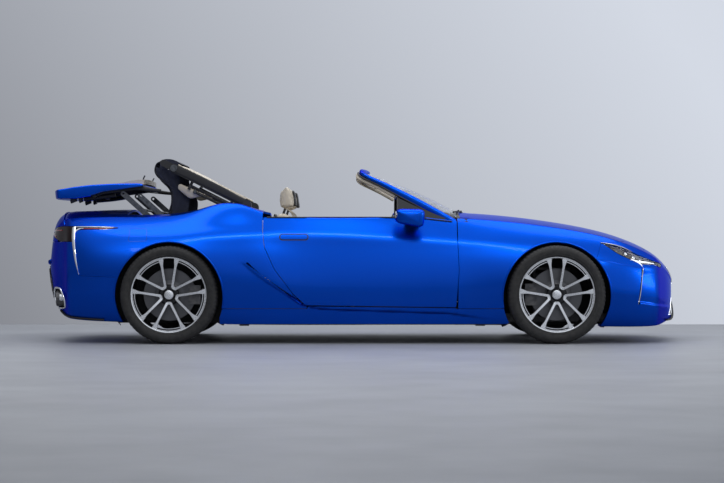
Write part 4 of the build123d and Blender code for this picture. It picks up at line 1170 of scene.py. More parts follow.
def puff(o, cap):
    """Swells a pad by blown-up cloth: an even remesh, air pressure without gravity, and no point farther than the cap
    from where it began. The result is left in the mesh, with one subdivision."""
    o.data.remesh_voxel_size = PAD_VOXEL
    bpy.context.view_layer.objects.active = o
    bpy.ops.object.select_all(action="DESELECT")
    o.select_set(True)
    bpy.ops.object.voxel_remesh()
    start = np.empty(len(o.data.vertices) * 3)
    o.data.vertices.foreach_get("co", start)
    cloth = o.modifiers.new("swell", "CLOTH").settings
    cloth.use_pressure = True
    cloth.uniform_pressure_force = PAD_PRESSURE
    cloth.effector_weights.gravity = 0
    cloth.quality = 4
    scene = bpy.context.scene
    for k in range(1, PAD_FRAMES + 1):
        scene.frame_set(k)
    seen = o.evaluated_get(bpy.context.evaluated_depsgraph_get()).data
    now = np.empty(len(seen.vertices) * 3)
    seen.vertices.foreach_get("co", now)
    o.modifiers.clear()
    scene.frame_set(1)
    d = (now - start).reshape(-1, 3)
    far = np.linalg.norm(d, axis=1, keepdims=True)
    d *= np.minimum(1, cap / np.maximum(far, 1e-9))
    o.data.vertices.foreach_set("co", (start.reshape(-1, 3) + d).ravel())
    o.modifiers.new("smooth", "SUBSURF").levels = 1
    o.modifiers["smooth"].render_levels = 1
    seen = o.evaluated_get(bpy.context.evaluated_depsgraph_get())
    m = bpy.data.meshes.new_from_object(seen)
    o.modifiers.clear()
    o.data = m
    smooth_faces(m)
    m.update()
    return o


def channels(o, axis, places, half_width, deep=0.006, wide=0.006, mid=0.0):
    """Sewn channels: draws the points of a pad in along their normals near each place along an axis, within half a
    width of the pad's middle along Y."""
    m = o.data
    p, n = np.empty(len(m.vertices) * 3), np.empty(len(m.vertices) * 3)
    m.vertices.foreach_get("co", p)
    m.vertices.foreach_get("normal", n)
    p, n = p.reshape(-1, 3), n.reshape(-1, 3)
    near = np.exp(-((p[:, None, axis] - np.asarray(places)[None]) / wide) ** 2).max(1)
    p -= n * (deep * near * (np.abs(p[:, 1] - mid) < half_width))[:, None]
    m.vertices.foreach_set("co", p.ravel())
    m.update()
    return o


def other_side(o, name):
    """Copy of a piece on the car's other side."""
    m = o.data.copy()
    p = np.empty(len(m.vertices) * 3)
    m.vertices.foreach_get("co", p)
    m.vertices.foreach_set("co", (p.reshape(-1, 3) * (1, -1, 1)).ravel())
    m.flip_normals()
    c = bpy.data.objects.new(name, m)
    bpy.context.collection.objects.link(c)
    return c


# ---------------------------------------------------------------- helpers for trim that lies on the body
def between(front, back):
    """Closed shell between two grids of the same shape, joined along all four sides."""
    loop = np.concatenate([front, back[:, ::-1]], 1)
    mid = (front + back) / 2
    ends = np.concatenate([mid, mid[:, ::-1]], 1)
    return np.concatenate([ends[:1], loop, ends[-1:]]), False, True


def plate(g, thick):
    """Grid given a thickness on the side away from its normal, which is square to its two directions."""
    n = np.cross(np.gradient(g, axis=0), np.gradient(g, axis=1))
    n /= np.maximum(np.linalg.norm(n, axis=-1, keepdims=True), 1e-12)
    return between(g, g - n * thick)


def on_side(x, z, lift=0.0, side=1):
    """Points of the body's side at the given x and z, lifted off the surface, with the surface's normals."""
    x, z = np.broadcast_arrays(np.asarray(x, float), np.asarray(z, float))
    t = t_of(x)
    s = np.linspace(0, 2.6, 521)
    rows, row = np.unique(t, return_inverse=True)
    k = body(rows[:, None], s[None])[..., 2][row]
    i = np.clip((k < z[:, None]).sum(1) - 1, 0, 519)
    j = np.arange(len(i))
    w = np.clip((z - k[j, i]) / np.maximum(k[j, i + 1] - k[j, i], 1e-6), 0, 1)
    s = s[i] + w * (s[1] - s[0])
    n = body_normal(t, s)
    return (body(t, s) + n * lift) * (1, side, 1), n * (1, side, 1)


def end_place(y, z, front=True):
    """Parameters of the points of the nose or tail at the given y and z: the nearest of a coarse grid, improved by
    Newton steps on the two coordinates."""
    y, z = np.broadcast_arrays(np.asarray(y, float), np.asarray(z, float))
    shape, half, z = y.shape, np.abs(y).ravel(), z.ravel()
    lo, hi = (-CAP * 0.98, float(t_of(1.95))) if front else (float(t_of(-2.10)), T_END + CAP * 0.98)
    tt, ss = np.meshgrid(np.linspace(lo, hi, 60), np.linspace(0.02, 2.99, 90), indexing="ij")
    p = body(tt, ss).reshape(-1, 3)
    far = (p[None, :, 1] - half[:, None]) ** 2 + (p[None, :, 2] - z[:, None]) ** 2
    k = far.argmin(1)
    t, s = tt.ravel()[k], ss.ravel()[k]
    for _ in range(6):
        f = body(t, s)
        ft, fs = (body(t + 1e-4, s) - f) / 1e-4, (body(t, s + 1e-4) - f) / 1e-4
        ry, rz = half - f[:, 1], z - f[:, 2]
        det = ft[:, 1] * fs[:, 2] - ft[:, 2] * fs[:, 1]
        det = np.where(np.abs(det) < 1e-5, np.inf, det)
        t = np.clip(t + np.clip((ry * fs[:, 2] - rz * fs[:, 1]) / det, -0.02, 0.02), lo, hi)
        s = np.clip(s + np.clip((rz * ft[:, 1] - ry * ft[:, 2]) / det, -0.05, 0.05), 0.0, 3.0)
    s = np.where(y.ravel() < 0, 6 - s, s)
    return t.reshape(shape), s.reshape(shape)


def on_end(y, z, front=True, lift=0.0):
    """Points of the nose or tail at the given y and z, lifted off the surface."""
    t, s = end_place(y, z, front)
    return body(t, s) + body_normal(t, s) * lift


def strip(points, wide, high, side=1, lift=0.0, n=60):
    """Trim strip along a line drawn on the body's side: an oval laid flat on the surface, tapered by wide's ends."""
    q = smooth_path(points, n)
    p, up = on_side(q[:, 0], q[:, 1], lift, side)
    w = np.interp(np.linspace(0, 1, n), np.linspace(0, 1, len(wide)), wide)
    return swept(p, ring(1.0, 1.0, 12, 3), up=up, scale=np.stack([w, np.full(n, high)], -1))


def stadium(p, x0, x1, z0, z1, grow=0.0):
    """Signed distance from a slot with round ends in the side view."""
    r = (z1 - z0) / 2
    x = np.clip(p[..., 0], x0 + r, x1 - r)
    return np.hypot(p[..., 0] - x, p[..., 2] - (z0 + z1) / 2) - r - grow


# ---------------------------------------------------------------- doors
HANDLE = (-0.590, -0.384, 0.771, 0.810)


def handle_region(p):
    """Flush door handle's plate."""
    return stadium(p, *HANDLE, -0.003)


def handle_gap_region(p):
    """Dark gap round the handle's plate."""
    return both_in(stadium(p, *HANDLE, 0.006), -stadium(p, *HANDLE, -0.0025))


def door_card(side):
    """Inner trim of a door: a flat panel with an armrest that swells inward and a padded upper, backed by the skin."""
    x = np.linspace(0.700, -0.700, 90)
    low = np.interp(-x, [-0.70, 0.398, 0.490, 0.626, 0.702], [0.288, 0.300, 0.385, 0.565, 0.730])
    v = np.linspace(0, 1, 60)
    high = np.interp(x, [0.20, 0.70], [0.930, 0.885])[:, None]
    z = low[:, None] + (high - low[:, None]) * v
    xx = x[:, None] + 0 * z
    arm = 0.050 * np.exp(-((z - 0.655) / 0.050) ** 4) * ease(xx, -0.60,
                                                             -0.40) * (1 - ease(xx, 0.28, 0.46))
    pad = 0.016 * np.exp(-((z - 0.850) / 0.085) ** 4)
    bin_ = 0.028 * np.exp(-((z - 0.380) / 0.060) ** 4) * ease(xx, -0.36,
                                                              -0.24) * (1 - ease(xx, 0.45, 0.60))
    inner = np.stack([xx, 0.764 - arm - pad * 0.4 - bin_, z], -1)
    outer, _ = on_side(xx.ravel(), z.ravel(), -0.028)
    outer = outer.reshape(inner.shape)
    outer[..., 1] = np.maximum(outer[..., 1], inner[..., 1] + 0.004)
    g, cu, cv = between(inner, outer)
    return [(g * (1, side, 1), cu, cv)]


class CAR_OT_door_trim(bpy.types.Operator):
    """Door cards, armrest pulls, belt seals and flush handles"""

    bl_idname = "car.door_trim"
    bl_label = "Door trim"

    def execute(self, context):
        t = t_range(-0.37, -0.61, 0.0022)
        for name, side, where in sides():
            s = np.linspace(1.45, 1.80, 90)
            s = rows_on(s, side)
            put(skin("door_handle_" + name, handle_region, t, s, 0.005, lift=0.0045), "paint", where)
            put(skin("door_handle_gap_" + name, handle_gap_region, t, s, 0.002, lift=0.0006), "black",
                where)
            put(grids("door_card_" + name, door_card(side)), "cream", where)
            x = np.linspace(0.690, -0.690, 60)
            edge = body(t_of(x)[:, None], np.linspace(1.3, 2.3, 400)[None])
            k = ((edge[..., 1] > 0.764) & (edge[..., 2] < BELT_Z)).sum(1) - 1
            path = edge[np.arange(60), k] * (1, side, 1) + (0, -0.004 * side, 0.0015)
            for _ in range(3):
                path[1:-1] = (path[:-2] + 2 * path[1:-1] + path[2:]) / 4
            put(grids("door_belt_seal_" + name, [swept(path, ring(0.022, 0.009, 12, 3))]), "black", where)
            if side < 0:
                flap = rounded([(-1.712, 0.756), (-1.706, 0.858), (-1.580, 0.852), (-1.576, 0.762)], 90,
                               8)
                ring_, _ = on_side(flap[:, 0], flap[:, 1], 0.0002, side)
                put(grids("fuel_flap_line", [swept(ring_, ring(0.0024, 0.0016, 6), closed=True)]),
                    "gloss", "body")
            pull = smooth_path([(0.16, 0.722, 0.700), (0.10, 0.694, 0.722), (-0.06, 0.690, 0.727),
                                (-0.14, 0.720, 0.704)], 24)
            put(grids("door_pull_" + name, [swept(pull * (1, side, 1), ring(0.020, 0.014, 12))]),
                "chrome", where)
        return {"FINISHED"}


# ---------------------------------------------------------------- door mirrors
def mirror_parts(side):
    """Mirror housing: ovals stacked along Y that swell and close, with its foot and its glass in the rear face."""
    y = np.linspace(0, 1, 26)
    grow = np.sqrt(np.clip(1 - (2 * y - 1) ** 4, 0, 1))
    o = ring(1, 1, 48, 4.6)
    cx, cz = 0.366 + 0.008 * y, 0.942 - 0.008 * y
    tilt = np.radians(-6)
    u, v = o[:, 0] * 0.215, o[:, 1] * 0.122 * (1 + 0.30 * o[:, 0])
    x = cx[:, None] + grow[:, None] * (u * np.cos(tilt) - v * np.sin(tilt))[None]
    z = cz[:, None] + grow[:, None] * (u * np.sin(tilt) + v * np.cos(tilt))[None]
    g = np.stack([x, (0.885 + 0.143 * y)[:, None] + 0 * x, z], -1) * (1, side, 1)
    a = np.linspace(0, 2 * np.pi, 40, endpoint=False)
    r = np.linspace(1, 0, 6)[:, None]
    gy, gz = 0.957 + 0.046 * r * np.cos(a), 0.950 + 0.030 * r * np.sin(a)
    across = (gy - 0.885) / 0.143
    gx = 0.366 - 0.1075 * np.sqrt(1 - (2 * across - 1) ** 4) + 0.1045 * (gz - 0.942) + 0.007 * across
    glass = np.stack([gx, gy * side, gz], -1)
    back = glass + (0.016, 0, 0)
    foot = np.array([(0.395, 0.795, 0.890), (0.388, 0.840, 0.905), (0.374, 0.885, 0.920),
                     (0.366, 0.925, 0.925)]) * (1, side, 1)
    foot = swept(smooth_path(foot, 14), ring(0.100, 0.030, 24, 3),
                 scale=np.linspace((1.25, 1.2), (0.75, 0.8), 14))
    return (g, False, True), between(glass, back), foot


class CAR_OT_mirrors(bpy.types.Operator):
    """Door mirrors on slim feet, with silvered glass"""

    bl_idname = "car.mirrors"
    bl_label = "Door mirrors"

    def execute(self, context):
        for name, side, where in sides():
            house, glass, foot = mirror_parts(side)
            put(grids("mirror_house_" + name, [house], 50), "paint", where, ["mirror_" + name])
            put(grids("mirror_glass_" + name, [glass]), "chrome", where)
            put(grids("mirror_foot_" + name, [foot], 60), "gloss", where)
        return {"FINISHED"}


# ---------------------------------------------------------------- windscreen
HOOP_ROWS = 120


def hoop_path(shift=(0, 0, 0), cut=0):
    """Line of the windscreen's frame from one pillar's foot over the header to the other."""
    half = [(0.712, 0.728, 0.893), (0.52, 0.684, 1.003), (0.30, 0.630, 1.122), (0.12, 0.580, 1.216),
            (0.040, 0.545, 1.256),
            (0.026, 0.490, 1.2745), (0.040, 0.300, 1.2890), (0.052, 0, 1.2950)]
    half = np.array(half[cut:]) + np.asarray(shift)
    return smooth_path(np.concatenate([half, (half[:-1] * (1, -1, 1))[::-1]]), HOOP_ROWS)


class CAR_OT_windscreen(bpy.types.Operator):
    """Windscreen: painted hoop, black seal, cream inner lining, curved pane and wipers"""

    bl_idname = "car.windscreen"
    bl_label = "Windscreen"

    def execute(self, context):
        up = (0.42, 0, 0.91)
        thick = 1 + 0.75 * ease(np.abs(np.linspace(-1, 1, HOOP_ROWS)), 0.42, 0.75)
        put(grids("screen_hoop", [swept(hoop_path(), ring(0.058, 0.034, 24, 3.2), up=up,
                                        scale=np.stack([1 + 0 * thick, thick], -1))], 60), "paint",
            "body",
            ["windscreen_frame"])
        put(grids("screen_lining", [swept(hoop_path((-0.030, -0.012, -0.026), cut=2),
                                          ring(0.050, 0.030, 20, 3), up=up)], 60),
            "cream", "body")
        put(grids("screen_seal", [swept(hoop_path((-0.030, 0.010, -0.010)), ring(0.030, 0.014, 16, 3),
                                        up=up)], 60),
            "black", "body")
        for name, side, _ in sides():
            a, b = np.meshgrid(np.linspace(0, 1, 24), np.linspace(0, 1, 12), indexing="ij")
            x = 0.285 + 0.355 * a
            low, high = 0.940 - 0.020 * a, 0.012 + np.interp(x, [0.285, 0.30, 0.52, 0.66],
                                                             [1.098, 1.090, 0.972, 0.910])
            z = low + (np.maximum(high, low + 0.004) - low) * b
            y = 0.748 - 0.010 * a - (z - 0.93) * 0.62
            put(grids("quarter_pane_" + name, [plate(np.stack([x, y * side, z], -1), 0.004 * side)]),
                "gloss", "body")
            bar = np.stack([0 * b[0] + 0.285, (0.748 - (np.linspace(0.940, 1.10, 12) - 0.93) * 0.62)
                            * side, np.linspace(0.940, 1.10, 12)], -1)
            put(grids("quarter_bar_" + name, [swept(bar, ring(0.014, 0.012, 10, 3), up=(0, 1, 0))]),
                "black", "body")
        # pane: rows of parabolas that bow forward, between the cowl and the header
        u, v = np.meshgrid(np.linspace(-1, 1, 49), np.linspace(-0.03, 1.0, 33), indexing="ij")
        half = 0.652 - 0.132 * v
        side, mid = 0.694 - 0.659 * v, 0.812 - 0.712 * v
        pane = np.stack([mid - (mid - side) * u ** 2, half * u,
                         0.955 + 0.313 * v + 0.018 * np.sin(np.pi * np.clip(v, 0, 1)) * (1 - u ** 2)], -1)
        put(grids("screen_pane", [plate(pane, -0.005)]), "glass", "body", ["windscreen_glass"])
        band = pane[:, 26:] * (1, 0.985, 1) + (-0.006, 0, -0.004)
        put(grids("screen_shade_band", [plate(band, -0.0015)]), "gloss", "body")
        for k, (y0, y1) in enumerate(((0.30, -0.26), (-0.12, -0.58))):
            yy = np.linspace(y0, y1, 30)
            vv = 0.035 + 0.02 * np.sin(np.linspace(0, np.pi, 30))
            uu = yy / (0.652 - 0.132 * vv)
            xs, xm = 0.694 - 0.659 * vv, 0.812 - 0.712 * vv
            path = np.stack([xm - (xm - xs) * uu ** 2 + 0.012, yy, 0.955 + 0.313 * vv + 0.014], -1)
            arm = smooth_path([(0.80 - 0.06 * k, y0 + 0.10, 0.962), path[15] + (0.006, 0, 0.010)], 12)
            put(grids(f"wiper_{k + 1}", [swept(path, ring(0.010, 0.014, 8)),
                                         swept(arm, ring(0.016, 0.008, 8))]), "black", "body")
        glass = np.array([(0, 0), (0.010, 0.002), (0.014, 0.010), (0.012, 0.022), (0, 0.026)])
        a = np.linspace(0, 2 * np.pi, 48, endpoint=False)[:, None]
        g = np.stack([0.112 + glass[None, :, 1] + 0 * a,
                      (0.095 + glass[None, :, 0] * 0.4) * np.sign(np.cos(a)) * np.abs(np.cos(a)) ** 0.6
                      * (glass[None, :, 0] > 0),
                      1.205 + (0.030 + glass[None, :, 0] * 0.4) * np.sign(np.sin(a))
                      * np.abs(np.sin(a)) ** 0.6 * (glass[None, :, 0] > 0)], -1)
        stem = smooth_path([(0.125, 0, 1.205), (0.118, 0, 1.235), (0.095, 0, 1.262)], 10)
        put(grids("inner_mirror", [(g, True, False), swept(stem, ring(0.018, 0.014, 12))]), "black",
            "body")
        return {"FINISHED"}


# ---------------------------------------------------------------- headlamps, grille and intakes
def lamp_region(p):
    """Headlamp's opening."""
    return both_in(side_in(p, LAMP, -0.0015), 0.432 - np.abs(p[..., 1]), -bonnet_plan(p, 0.004))


class CAR_OT_headlamps(bpy.types.Operator):
    """Headlamps: dark bowl, three round lenses, light bars and a clear cover"""

    bl_idname = "car.headlamps"
    bl_label = "Headlamps"

    def execute(self, context):
        t = t_range(2.30, 1.78, 0.007)
        for name, side, _ in sides():
            s = s_rows(np.linspace(1.2, 2, 70), np.linspace(2, 2.6, 40))
            s = rows_on(s, side)
            put(skin("lamp_cover_" + name, lamp_region, t, s, 0.003), "lamp_cover", "body",
                ["headlamp_" + name])
            put(skin("lamp_bowl_" + name, lamp_region, t, s, 0.02, lift=-0.022), "lamp_inside", "body")
            lens, rims = [], []
            for x, z, r in ((1.985, 0.672, 0.017), (2.045, 0.643, 0.018), (2.098, 0.618, 0.016)):
                p, n = on_side(np.array([x]), np.array([z]), -0.016)
                p, n = p[0] * (1, side, 1), n[0] * (1, side, 1)
                ball = turned([(0, 0.011), (r * 0.5, 0.009), (r * 0.85, 0.004), (r, -0.004), (r, -0.012),
                               (0, -0.014)], axis="z", n=32)[0]
                rim = turned([(r, -0.012), (r * 1.22, -0.012), (r * 1.25, 0.003), (r * 1.12, 0.006),
                              (r, 0.001), (r, -0.012)], axis="z", n=40)[0]
                e = np.cross((0.3, 0.1, 1.0), n)
                e /= np.linalg.norm(e)
                m = np.stack([e, np.cross(n, e), n])
                lens.append((ball @ m + p, True, False))
                rims.append((rim @ m + p, True, False))
            put(grids("lamp_lens_" + name, lens), "chrome", "body")
            put(grids("lamp_ring_" + name, rims), "gloss", "body")
            bar = [strip([(2.018, 0.626), (2.060, 0.612), (2.13, 0.602), (2.200, 0.592)],
                         (0.005, 0.011, 0.012, 0.004), 0.007, side, 0.0),
                   strip([(2.052, 0.611), (2.082, 0.596), (2.104, 0.572)], (0.008, 0.011, 0.003), 0.006,
                         side, 0.001, 24)]
            put(grids("lamp_light_bar_" + name, bar), "light", "body")
            edge = strip([(1.790, 0.750), (1.88, 0.737), (1.961, 0.714), (2.03, 0.681)],
                         (0.002, 0.006, 0.006, 0.002), 0.005, side, 0.0)
            put(grids("lamp_edge_" + name, [edge]), "chrome", "body")
            low = strip([(1.841, 0.722), (1.921, 0.668), (2.015, 0.624)], (0.002, 0.005, 0.003), 0.005,
                        side, 0.0)
            put(grids("lamp_lower_edge_" + name, [low]), "gloss", "body")
        return {"FINISHED"}


def intake_region(p):
    """Slot of the bumper's side intake."""
    return both_in(side_in(p, INTAKE, 0.004), 0.6 - np.abs(p[..., 1]))


class CAR_OT_grille(bpy.types.Operator):
    """Spindle-shaped grille: crossing wire mesh that follows the nose, in a bright frame, with intakes beside it"""

    bl_idname = "car.grille"
    bl_label = "Grille and intakes"

    def execute(self, context):
        rows = []
        zz = np.linspace(0.200, 0.566, 40)
        edge = np.interp(zz, [0.205, 0.44, 0.56], [0.430, 0.235, 0.300])
        for k in np.linspace(-1, 1, 25):
            for lean in (-1, 1):
                y = edge * k + lean * 0.028 * np.sin(np.pi * (zz - 0.2) / 0.046)
                y = np.clip(y, -edge - 0.008, edge + 0.008)
                rows.append((y, zz, 0 * y + 0.022 + 0.003 * lean))
        y, z, back = np.moveaxis(np.array(rows), 1, 0)
        lines = on_end(y, z) - back[..., None] * (1, 0, 0)
        wires = [swept(line, ring(0.0055, 0.009, 6), up=(1, 0, 0)) for line in lines]
        put(grids("grille_mesh", wires, 60), "black", "body", ["grille"])
        corners = np.array([(-0.300, 0.562), (0.300, 0.562), (0.262, 0.500), (0.237, 0.440),
                            (0.300, 0.330), (0.380, 0.250), (0.432, 0.203),
                            (0.2, 0.198), (-0.2, 0.198), (-0.432, 0.203), (-0.380, 0.250),
                            (-0.300, 0.330), (-0.237, 0.440), (-0.262, 0.500)])
        loop = np.concatenate([np.linspace(a, b, 10, endpoint=False) for a,
                               b in zip(corners, np.roll(corners, -1, 0))])
        path = on_end(loop[:, 0], loop[:, 1]) - (0.001, 0, 0)
        put(grids("grille_frame", [swept(path, ring(0.011, 0.014, 10, 3), up=(1, 0, 0), closed=True)],
                  60), "chrome", "body")
        y, z = np.meshgrid(np.linspace(-0.47, 0.47, 60), np.linspace(0.17, 0.59, 30), indexing="ij")
        put(grids("grille_back", [plate(on_end(y, z) - (0.060, 0, 0), 0.01)]), "black", "body")
        for name, side, _ in sides():
            s = np.linspace(0.2, 1.6, 60)
            s = rows_on(s, side)
            put(skin("side_intake_" + name, intake_region, t_range(2.20, 2.04, 0.006), s, 0.01,
                     lift=-0.016), "black", "body")
            fin = strip([(2.106, 0.562), (2.096, 0.48), (2.080, 0.36), (2.064, 0.293)],
                        (0.003, 0.007, 0.007, 0.002), 0.008, side, 0.002)
            put(grids("intake_blade_" + name, [fin]), "chrome", "body")
        return {"FINISHED"}


# ---------------------------------------------------------------- rear lamps, tail pipes and black under-edges
class CAR_OT_tail(bpy.types.Operator):
    """Rear lamps with their silver blades, the duck tail's edge, tail pipes, diffuser and black under-edges"""

    bl_idname = "car.tail"
    bl_label = "Rear lamps and tail"

    def execute(self, context):
        t = np.concatenate([t_range(-2.10, -2.376, 0.006), T_END + np.linspace(0, 0.05, 6)[1:]])
        for name, side, _ in sides():
            s = s_rows(np.linspace(1, 2, 80), np.linspace(2, 2.75, 70))
            s = rows_on(s, side)
            put(skin("tail_lens_" + name, lens_region, t, s, 0.006, lift=-0.002), "smoke", "body",
                ["tail_lamp_" + name])
            put(skin("tail_lamp_back_" + name, lambda p: lens_region(p, 0.004), t, s, 0.006, lift=-0.014),
                "gloss", "body")
            side_bar = strip([(-1.80, 0.860), (-1.95, 0.8655), (-2.135, 0.866)], (0.002, 0.011, 0.011),
                             0.008, side, 0.0)
            blade = strip([(-2.134, 0.862), (-2.132, 0.80), (-2.118, 0.70), (-2.100, 0.60),
                           (-2.076, 0.513)],
                          (0.030, 0.026, 0.020, 0.013, 0.003), 0.012, side, 0.001)
            flow = strip([(-2.052, 0.8545), (-2.10, 0.848), (-2.126, 0.825), (-2.128, 0.78)],
                         (0.002, 0.014, 0.020, 0.006), 0.008,
                         side, 0.001, 30)
            put(grids("tail_blade_" + name, [side_bar, blade, flow]), "chrome", "body")
            red = strip([(-1.83, 0.8545), (-1.95, 0.854), (-2.10, 0.853)], (0.002, 0.010, 0.007), 0.005,
                        side, 0.001)
            y = np.linspace(0.32, 0.615, 40) * side
            rear = on_end(y, np.interp(np.abs(y), [0.32, 0.615], [0.838, 0.842]), False, -0.001)
            low = on_end(y[:30], np.interp(np.abs(y[:30]), [0.32, 0.54], [0.822, 0.796]), False, -0.001)
            put(grids("tail_light_" + name, [red, swept(rear, ring(0.010, 0.006, 10), up=(1, 0, 0)),
                                             swept(low, ring(0.010, 0.006, 10), up=(1, 0, 0))]), "red",
                "body")
            rim = np.concatenate([np.linspace(a, b, 9, endpoint=False) for a,
                                  b in zip(PIPE_HOLE, np.roll(PIPE_HOLE, -1, 0))])
            rim = rounded(rim, 90, 12)
            path = on_end(rim[:, 0] * side, rim[:, 1], False, -0.001)
            put(grids("pipe_surround_" + name, [swept(path, ring(0.014, 0.016, 12, 3), up=(1, 0, 0),
                                                      closed=True)], 60), "chrome",
                "body")
            mid = path.mean(0)
            back = np.stack([mid + (path - mid) * k + (0.012 + 0.09 * (1 - k) ** 0.4, 0, 0)
                             for k in np.linspace(1.0, 0.0, 9)])
            put(grids("pipe_recess_" + name, [(np.concatenate([back, back[::-1] + (0.006, 0, 0)]), False,
                                               True)]),
                "black", "body")
            tips = []
            for y0, z0, r in ((0.575, 0.330, 0.036), (0.638, 0.338, 0.030)):
                wall = [(r * 0.86, 0.09), (r * 0.90, 0.0), (r * 0.96, -0.006), (r, 0.0), (r, 0.09),
                        (r * 0.86, 0.09)]
                tips.append(turned(wall, (mid[0] + 0.012, y0 * side, z0), "x", 40))
            put(grids("tail_pipe_" + name, tips), "chrome", "body")
            edge = body(t_range(-1.90, -2.30, 0.01), 0.04 if side > 0 else 5.96)
            put(grids("rear_under_edge_" + name, [swept(edge, ring(0.030, 0.014, 12, 3))]), "black",
                "body")
        y = np.linspace(-0.47, 0.47, 60)
        rows = np.stack([on_end(y, 0 * y + z, False, lift) for z,
                         lift in ((0.235, 0.001), (0.262, 0.003), (0.300, 0.001), (0.345, -0.012))])
        fins = []
        for k in np.linspace(-0.36, 0.36, 7):
            line = on_end(np.full(12, k), np.linspace(0.234, 0.330, 12), False, -0.002)
            fins.append(swept(line, ring(0.007, 0.026, 8, 4), up=(-1, 0, 0)))
        put(grids("diffuser", [plate(np.swapaxes(rows, 0, 1), 0.010)] + fins), "black", "body")
        y = np.linspace(-0.50, 0.50, 60)
        lip = on_end(y, 0 * y + 0.168, True, 0.0) - (0.012, 0, 0.004)
        put(grids("splitter", [swept(lip, ring(0.060, 0.012, 14, 4))]), "black", "body")
        # light edge of the duck tail: runs over the lid at the body's highest line behind
        s = np.linspace(1.86, 4.14, 90)
        tail = body(np.full(90, t_of(-2.262)), s) + (0, 0, 0.0015)
        put(grids("duck_tail_edge", [swept(tail, ring(0.022, 0.010, 12), up=(0, 0, 1),
                                           scale=np.stack([0.25 + 0.75 * np.sin(np.linspace(0, np.pi,
                90)) ** 0.3] * 2, -1))]),
            "paint", "body")
        return {"FINISHED"}


# ---------------------------------------------------------------- folding roof
PIVOT = np.array([-0.850, 0, 1.035])
FOLD = np.array([-1.4044, 0, 1.3126])
RAIL = (FOLD - PIVOT) / np.linalg.norm(FOLD - PIVOT)          # along the rail, up and back
RAIL_UP = np.array([RAIL[2], 0, -RAIL[0]])               # square to the rail, up and forward
DRAPE = np.array([(-1514, 1363), (-1538, 1350), (-1549, 1328), (-1552, 1292), (-1516, 1238),
                  (-1446, 1182), (-1424, 1110),
                  (-1444, 1020), (-1466, 930)]) / 1000.0


def beside_rail(along, up, y):
    """Points given along the rail from its pivot, square to it, and across the car."""
    along, up, y = np.broadcast_arrays(*(np.asarray(v, float) for v in (along, up, y)))
    return PIVOT + along[..., None] * RAIL + up[..., None] * RAIL_UP + y[..., None] * (0, 1, 0)


